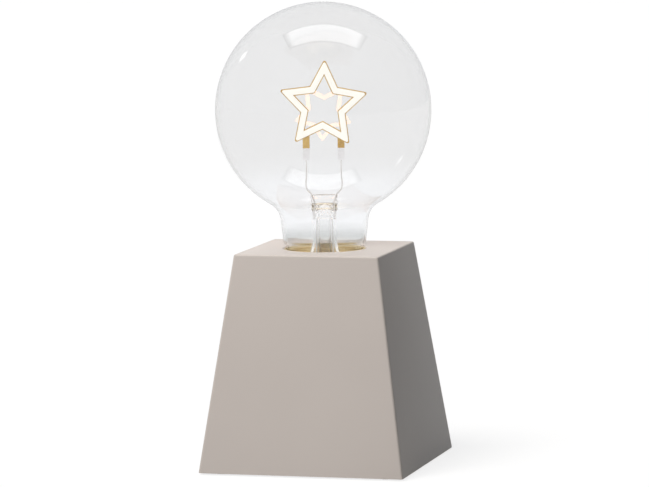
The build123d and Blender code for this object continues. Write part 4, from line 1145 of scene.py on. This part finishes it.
class LAMP_OT_screws(bpy.types.Operator):
    """Model the screws with their cross recesses"""

    bl_idname = "lamp.screws"
    bl_label = "Screws"

    def execute(self, context):
        finish = surface_material(
            "plated_screw", (0.56, 0.56, 0.57), (0.26, 0.4), metallic=1.0, grain=900.0, relief=0.3
        )[0]
        housing = context.scene.lamp_housing
        across, along = housing.boss_place
        plate_places = [(x, y) for x in (-across, across) for y in (-along, along)]
        clamp_places = clamp_screw_places(housing)
        board_low, board_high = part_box("board_screws")
        board_x = board_high.x - 2.1 * MM
        board_y = (board_low.y + board_high.y) / 2
        groups = [
            ("plate_screws", plate_places, 2.9, 1.5, 1.1, False),
            ("clamp_screws", clamp_places, 2.6, 1.3, 1.4, False),
            ("board_screws", [(-board_x, board_y), (board_x, board_y)], 2.1, 1.1, 1.4, True),
        ]
        for node, places, head_radius, shank_radius, head_height, head_up in groups:
            low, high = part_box(node)
            screw = self.one_screw(
                context, head_radius * MM, shank_radius * MM, head_height * MM, high.z - low.z
            )
            if head_up:
                screw.rotation_euler = (math.pi, 0, 0)
                screw = settle("screw")
                places = [(x, y, high.z) for x, y in places]
            else:
                places = [(x, y, low.z) for x, y in places]
            screws = join_pieces(node.replace("_screws", "_screw_set"), copies_at(screw, places))
            smooth(screws, 35)
            dress(screws, "base", finish, node)
        return {"FINISHED"}

    def one_screw(self, context, head_radius, shank_radius, head_height, length):
        """A screw that stands on its head, with a cross recess and a pointed, threaded shank."""
        sizes = context.scene.lamp_small
        edge = 0.35 * head_height
        line = [(0, 0), (head_radius - edge, 0), (head_radius, edge), (head_radius, head_height)]
        line.append((shank_radius, head_height))
        pitch = 0.9 * MM
        turns = int((length - head_height - shank_radius) / pitch)
        for index in range(turns):
            rise = head_height + (index + 0.5) * pitch
            line.append((0.80 * shank_radius, rise))
            line.append((shank_radius, rise + pitch / 2))
        line += [(0.7 * shank_radius, length - shank_radius / 2), (0, length)]
        screw = ring_form("screw", round_rings(line), 32)
        reach, half = sizes.recess_reach * head_radius, sizes.recess_width * head_radius / 2
        depth = 0.7 * head_height
        for long_way in ((reach, half), (half, reach)):
            arm = add_box(
                "arm", (-long_way[0], -long_way[1], -depth), (long_way[0], long_way[1], depth)
            )
            cut_away(screw, arm)
        return screw


class LAMP_OT_feet(bpy.types.Operator):
    """Model the four foot pads"""

    bl_idname = "lamp.feet"
    bl_label = "Feet"

    def execute(self, context):
        sizes = context.scene.lamp_small
        low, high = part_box("foot_pads")
        radius, edge = sizes.foot_radius, sizes.foot_edge
        place = high.x - radius
        line = [(0, 0.12 * MM), (0.78 * radius, 0.12 * MM), (0.86 * radius, 0)]
        line += arc((radius - edge, edge), edge, 270, 360, 4)
        line += [(radius, high.z), (0, high.z)]
        pad = ring_form("pad", round_rings(line), 48)
        places = [(x, y, 0) for x in (-place, place) for y in (-place, place)]
        feet = join_pieces("feet", copies_at(pad, places))
        smooth(feet, 35)
        rubber = surface_material(
            "foot_rubber", (0.020, 0.020, 0.020), (0.6, 0.8), patch=70.0, grain=2200.0, relief=0.7
        )[0]
        dress(feet, "base", rubber, "foot_pads")
        return {"FINISHED"}


class LAMP_OT_cells(bpy.types.Operator):
    """Model the three plain cells head to tail"""

    bl_idname = "lamp.cells"
    bl_label = "Cells"

    def execute(self, context):
        sizes = context.scene.lamp_small
        jacket = banded_jacket()
        steel = surface_material(
            "cell_can", (0.68, 0.67, 0.65), (0.2, 0.32), metallic=1.0, grain=600.0, relief=0.15
        )[0]
        band = surface_material(
            "cell_band", (0.06, 0.10, 0.16), (0.22, 0.3), patch=30.0, grain=500.0, relief=0.05
        )[0]
        for index in range(3):
            node = f"aa_cell_{index + 1}"
            low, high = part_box(node)
            radius = (high.x - low.x) / 2
            length = high.y - low.y
            nub, nub_radius = 1.0 * MM, 2.75 * MM
            can = radius - sizes.cell_wrap
            line = [
                (0, 0.3 * MM), (0.55 * radius, 0.3 * MM), (0.62 * radius, 0), (0.9 * can, 0), (can, 0.3 * MM),
                (can, 0.6 * MM), (radius, 0.7 * MM), (radius, 0.34 * length), (radius, length - nub - 0.9 * MM),
                (can, length - nub - 0.7 * MM), (can, length - nub - 0.4 * MM), (0.9 * can, length - nub),
                (1.5 * nub_radius, length - nub - 0.2 * MM), (1.1 * nub_radius, length - nub),
                (nub_radius, length - 0.9 * nub), (nub_radius, length - 0.25 * nub), (0.8 * nub_radius, length),
                (0, length),
            ]
            cell = ring_form(node.replace("aa_", ""), round_rings(line), 64)
            cell.data.materials.append(steel)
            cell.data.materials.append(jacket)
            cell.data.materials.append(band)
            for face in cell.data.polygons:
                wrapped = face.normal.z**2 < 0.5 and face.center.xy.length > 0.985 * can
                in_band = wrapped and face.center.z < 0.34 * length
                face.material_index = 2 if in_band else 1 if wrapped else 0
            smooth(cell, 35)
            towards_back = index % 2 == 0
            cell.rotation_euler = (-math.pi / 2 if towards_back else math.pi / 2, 0, 0)
            start = low.y if towards_back else high.y
            cell.location = ((low.x + high.x) / 2, start, (low.z + high.z) / 2)
            cell = settle(cell.name)
            dress(cell, "base", jacket, node)
        return {"FINISHED"}


class LAMP_OT_carried_parts(bpy.types.Operator):
    """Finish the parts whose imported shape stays"""

    bl_idname = "lamp.carried_parts"
    bl_label = "Carried-over parts"

    def execute(self, context):
        for name, members in CARRIED_NODES.items():
            finish = surface_material(name, **CARRIED_FINISHES[name])[0]
            for member in members:
                mesh = nodes[member].data
                mesh.materials.clear()
                mesh.materials.append(finish)
        return {"FINISHED"}


class LAMP_OT_stage(bpy.types.Operator):
    """Set the floor, the surroundings, the lamps, the reflecting cards and the camera"""

    bl_idname = "lamp.stage"
    bl_label = "Stage"

    def execute(self, context):
        sizes = context.scene.lamp_stage
        back = Vector((
            math.sin(sizes.azimuth) * math.cos(sizes.elevation),
            -math.cos(sizes.azimuth) * math.cos(sizes.elevation),
            math.sin(sizes.elevation),
        ))
        level_right = UP.cross(back).normalized()
        level_up = back.cross(level_right)
        right = level_right * math.cos(sizes.roll) + level_up * math.sin(sizes.roll)
        up = level_up * math.cos(sizes.roll) - level_right * math.sin(sizes.roll)
        place = Vector((0, 0, sizes.aim_height)) + back * sizes.distance
        place += right * sizes.shift_right + up * sizes.shift_up
        begin_piece()
        turned = Matrix((right, up, back)).transposed()
        bpy.ops.object.camera_add(location=place, rotation=turned.to_euler())
        camera = context.object
        camera.name = "camera"
        camera.data.lens = sizes.lens
        camera.data.sensor_fit = "HORIZONTAL"
        camera.data.sensor_width = 36
        camera.data.clip_end = 50
        camera.data.dof.use_dof = False
        context.scene.camera = camera
        context.scene.view_settings.view_transform = "Standard"

        self.make_floor(sizes)
        self.make_world(context, sizes)
        self.make_lamp("key_lamp", (-0.30, -0.54, 0.98), sizes.key_strength, sizes.key_softness, True)
        self.make_lamp("back_lamp", (0.0, 1.0, 0.25), sizes.back_strength, sizes.key_softness, False)
        self.make_lamp("under_lamp", (0.0, 0.0, -1.0), sizes.under_strength, 0.0, False)
        globe_middle = Vector((0, 0, 0.17))
        self.make_card(sizes, "overhead_card", globe_middle, (0.015, 0.075, 1.0), 1.2, (1.4, 0.6), back)
        far_left = -back * 0.53 - level_right * 0.69 + level_up * 0.49
        self.make_card(sizes, "side_card", globe_middle, far_left, 1.5, (0.16, 0.20), back)
        return {"FINISHED"}

    def make_floor(self, sizes):
        """A pale floor that keeps the lamp's shadow, and that shows nothing from below."""
        begin_piece()
        bpy.ops.mesh.primitive_plane_add(size=12)
        floor = settle("floor")
        material, tree, shader = new_material("floor_paper", sizes.floor_colour, 0.9)
        shader.inputs["Specular IOR Level"].default_value = 0.0
        output = tree.nodes["Material Output"]
        rays = add_node(tree, "ShaderNodeLightPath")
        seen = add_node(tree, "ShaderNodeMath", operation="ADD", use_clamp=True)
        mirrored = add_node(tree, "ShaderNodeMath", operation="MULTIPLY")
        mirrored.inputs[1].default_value = sizes.gloss_strength - (1 - sizes.floor_lift)
        place = add_node(tree, "ShaderNodeTexCoord")
        from_patch = add_node(tree, "ShaderNodeVectorMath", operation="DISTANCE")
        from_patch.inputs[1].default_value = (0, -sizes.bounce_forward, 0)
        patch = add_node(tree, "ShaderNodeMapRange", interpolation_type="SMOOTHSTEP")
        patch.inputs["From Max"].default_value = sizes.bounce_reach
        patch.inputs["To Min"].default_value = sizes.bounce_strength
        patch.inputs["To Max"].default_value = 0.0
        thrown_back = add_node(tree, "ShaderNodeMath", operation="MULTIPLY_ADD")
        strength = add_node(tree, "ShaderNodeMix", data_type="FLOAT")
        strength.inputs["B"].default_value = sizes.floor_lift
        glow = add_node(tree, "ShaderNodeEmission")
        lit = add_node(tree, "ShaderNodeAddShader")
        below = add_node(tree, "ShaderNodeNewGeometry")
        clear = add_node(tree, "ShaderNodeBsdfTransparent")
        one_sided = add_node(tree, "ShaderNodeMixShader")
        link = tree.links.new
        link(rays.outputs["Is Camera Ray"], seen.inputs[0])
        link(rays.outputs["Is Transmission Ray"], seen.inputs[1])
        link(rays.outputs["Is Glossy Ray"], mirrored.inputs[0])
        link(place.outputs["Object"], from_patch.inputs[0])
        link(from_patch.outputs["Value"], patch.inputs["Value"])
        link(rays.outputs["Is Diffuse Ray"], thrown_back.inputs[0])
        link(patch.outputs["Result"], thrown_back.inputs[1])
        link(mirrored.outputs[0], thrown_back.inputs[2])
        link(seen.outputs[0], strength.inputs["Factor"])
        link(thrown_back.outputs[0], strength.inputs["A"])
        link(strength.outputs["Result"], glow.inputs["Strength"])
        link(shader.outputs[0], lit.inputs[0])
        link(glow.outputs[0], lit.inputs[1])
        link(below.outputs["Backfacing"], one_sided.inputs["Fac"])
        link(lit.outputs[0], one_sided.inputs[1])
        link(clear.outputs[0], one_sided.inputs[2])
        link(one_sided.outputs[0], output.inputs["Surface"])
        floor.data.materials.append(material)

    def make_world(self, context, sizes):
        """White where the camera looks, straight or through glass, and dimmer as light and for gloss."""
        world = bpy.data.worlds.new("surroundings")
        context.scene.world = world
        world.use_nodes = True
        tree = world.node_tree
        tree.nodes.clear()
        output = add_node(tree, "ShaderNodeOutputWorld")
        rays = add_node(tree, "ShaderNodeLightPath")
        seen = add_node(tree, "ShaderNodeMath", operation="ADD", use_clamp=True)
        white = add_node(tree, "ShaderNodeBackground")
        white.inputs["Color"].default_value = WHITE
        mirrored = add_node(tree, "ShaderNodeBackground")
        mirrored.inputs["Color"].default_value = (0.97, 0.98, 1.0, 1)
        ambient = add_node(tree, "ShaderNodeBackground")
        ambient.inputs["Color"].default_value = (0.86, 0.97, 1.07, 1)
        for_gloss = add_node(tree, "ShaderNodeMixShader")
        for_eye = add_node(tree, "ShaderNodeMixShader")
        towards = add_node(tree, "ShaderNodeTexCoord")
        sideways = add_node(tree, "ShaderNodeSeparateXYZ")
        link = tree.links.new
        link(towards.outputs["Generated"], sideways.inputs[0])
        for light, strength, far_share in (
            (mirrored, sizes.gloss_strength, sizes.dim_gloss),
            (ambient, sizes.fill_strength, sizes.dim_fill),
        ):
            dimmed = add_node(tree, "ShaderNodeMapRange")
            dimmed.inputs["From Min"].default_value = 0.0
            dimmed.inputs["From Max"].default_value = sizes.dim_end
            dimmed.inputs["To Min"].default_value = strength
            dimmed.inputs["To Max"].default_value = strength * far_share
            link(sideways.outputs["X"], dimmed.inputs["Value"])
            link(dimmed.outputs["Result"], light.inputs["Strength"])
        link(rays.outputs["Is Camera Ray"], seen.inputs[0])
        link(rays.outputs["Is Transmission Ray"], seen.inputs[1])
        link(rays.outputs["Is Glossy Ray"], for_gloss.inputs["Fac"])
        link(ambient.outputs[0], for_gloss.inputs[1])
        link(mirrored.outputs[0], for_gloss.inputs[2])
        link(seen.outputs[0], for_eye.inputs["Fac"])
        link(for_gloss.outputs[0], for_eye.inputs[1])
        link(white.outputs[0], for_eye.inputs[2])
        link(for_eye.outputs[0], output.inputs["Surface"])

    def make_lamp(self, name, towards, strength, softness, shadow):
        """A wide far lamp that gloss and glass don't show."""
        towards = Vector(towards).normalized()
        begin_piece()
        bpy.ops.object.light_add(type="SUN", location=towards)
        lamp = bpy.context.object
        lamp.name = name
        lamp.rotation_euler = towards.to_track_quat("Z", "Y").to_euler()
        lamp.data.angle = softness
        lamp.data.energy = strength * math.pi
        lamp.data.color = (1.0, 0.975, 0.95)
        lamp.data.use_shadow = shadow
        lamp.visible_glossy = False
        lamp.visible_transmission = False

    def make_card(self, sizes, name, middle, towards, distance, size, back):
        """A bright card that only gloss and glass show."""
        towards = Vector(towards).normalized()
        begin_piece()
        bpy.ops.mesh.primitive_plane_add(size=1)
        card = bpy.context.object
        card.scale = (size[0], size[1], 1)
        level = back.cross(UP).normalized()
        side = (level - towards * level.dot(towards)).normalized()
        other = towards.cross(side)
        turned = Matrix((side, other, towards)).transposed()
        card.rotation_euler = turned.to_euler()
        card.location = middle + towards * distance
        card = settle(name)
        material = bpy.data.materials.new(name)
        material.use_nodes = True
        tree = material.node_tree
        tree.nodes.clear()
        output = add_node(tree, "ShaderNodeOutputMaterial")
        glow = add_node(tree, "ShaderNodeEmission")
        surface = add_node(tree, "ShaderNodeUVMap")
        across = add_node(tree, "ShaderNodeSeparateXYZ")
        tree.links.new(surface.outputs["UV"], across.inputs[0])
        brightness = None
        for axis in ("X", "Y"):
            from_middle = add_node(tree, "ShaderNodeMath", operation="SUBTRACT")
            from_middle.inputs[1].default_value = 0.5
            reach = add_node(tree, "ShaderNodeMath", operation="ABSOLUTE")
            fade = add_node(tree, "ShaderNodeMapRange", interpolation_type="SMOOTHSTEP")
            fade.inputs["From Min"].default_value = 0.5
            fade.inputs["From Max"].default_value = 0.5 - sizes.card_edge
            together = add_node(tree, "ShaderNodeMath", operation="MULTIPLY")
            together.inputs[0].default_value = sizes.card_strength
            if brightness:
                tree.links.new(brightness, together.inputs[0])
            tree.links.new(across.outputs[axis], from_middle.inputs[0])
            tree.links.new(from_middle.outputs[0], reach.inputs[0])
            tree.links.new(reach.outputs[0], fade.inputs["Value"])
            tree.links.new(fade.outputs["Result"], together.inputs[1])
            brightness = together.outputs[0]
        tree.links.new(brightness, glow.inputs["Strength"])
        tree.links.new(glow.outputs[0], output.inputs["Surface"])
        card.data.materials.append(material)
        card.visible_camera = False
        card.visible_diffuse = False
        card.visible_shadow = False


class LAMP_PT_panel(bpy.types.Panel):
    """Lists the lamp's pieces in the 3D view's sidebar"""

    bl_idname = "LAMP_PT_panel"
    bl_label = "Star lamp"
    bl_space_type = "VIEW_3D"
    bl_region_type = "UI"
    bl_category = "Star lamp"

    def draw(self, context):
        for piece in PIECES:
            self.layout.operator(piece.bl_idname)


SETTINGS = {
    "lamp_housing": HousingSettings,
    "lamp_collar": CollarSettings,
    "lamp_bulb": BulbSettings,
    "lamp_stem": StemSettings,
    "lamp_wires": WireSettings,
    "lamp_star": StarSettings,
    "lamp_small": SmallPartSettings,
    "lamp_stage": StageSettings,
}
PIECES = (
    LAMP_OT_housing,
    LAMP_OT_collar,
    LAMP_OT_globe,
    LAMP_OT_stem,
    LAMP_OT_wires,
    LAMP_OT_star,
    LAMP_OT_screws,
    LAMP_OT_feet,
    LAMP_OT_cells,
    LAMP_OT_carried_parts,
    LAMP_OT_stage,
)


def register():
    for name, settings in SETTINGS.items():
        bpy.utils.register_class(settings)
        setattr(bpy.types.Scene, name, bpy.props.PointerProperty(type=settings))
    for piece in PIECES:
        bpy.utils.register_class(piece)
    bpy.utils.register_class(LAMP_PT_panel)


def unregister():
    bpy.utils.unregister_class(LAMP_PT_panel)
    for piece in reversed(PIECES):
        bpy.utils.unregister_class(piece)
    for name, settings in reversed(SETTINGS.items()):
        delattr(bpy.types.Scene, name)
        bpy.utils.unregister_class(settings)


def main():
    """Model every piece in order."""
    register()
    for item in [o for o in bpy.data.objects if o.type in ("CAMERA", "LIGHT")]:
        bpy.data.objects.remove(item)
    bpy.ops.lamp.housing()
    bpy.ops.lamp.collar()
    bpy.ops.lamp.globe()
    bpy.ops.lamp.stem()
    bpy.ops.lamp.wires()
    bpy.ops.lamp.star()
    bpy.ops.lamp.screws()
    bpy.ops.lamp.feet()
    bpy.ops.lamp.cells()
    bpy.ops.lamp.carried_parts()
    bpy.ops.lamp.stage()
    begin_piece()


if __name__ == "__main__":
    main()
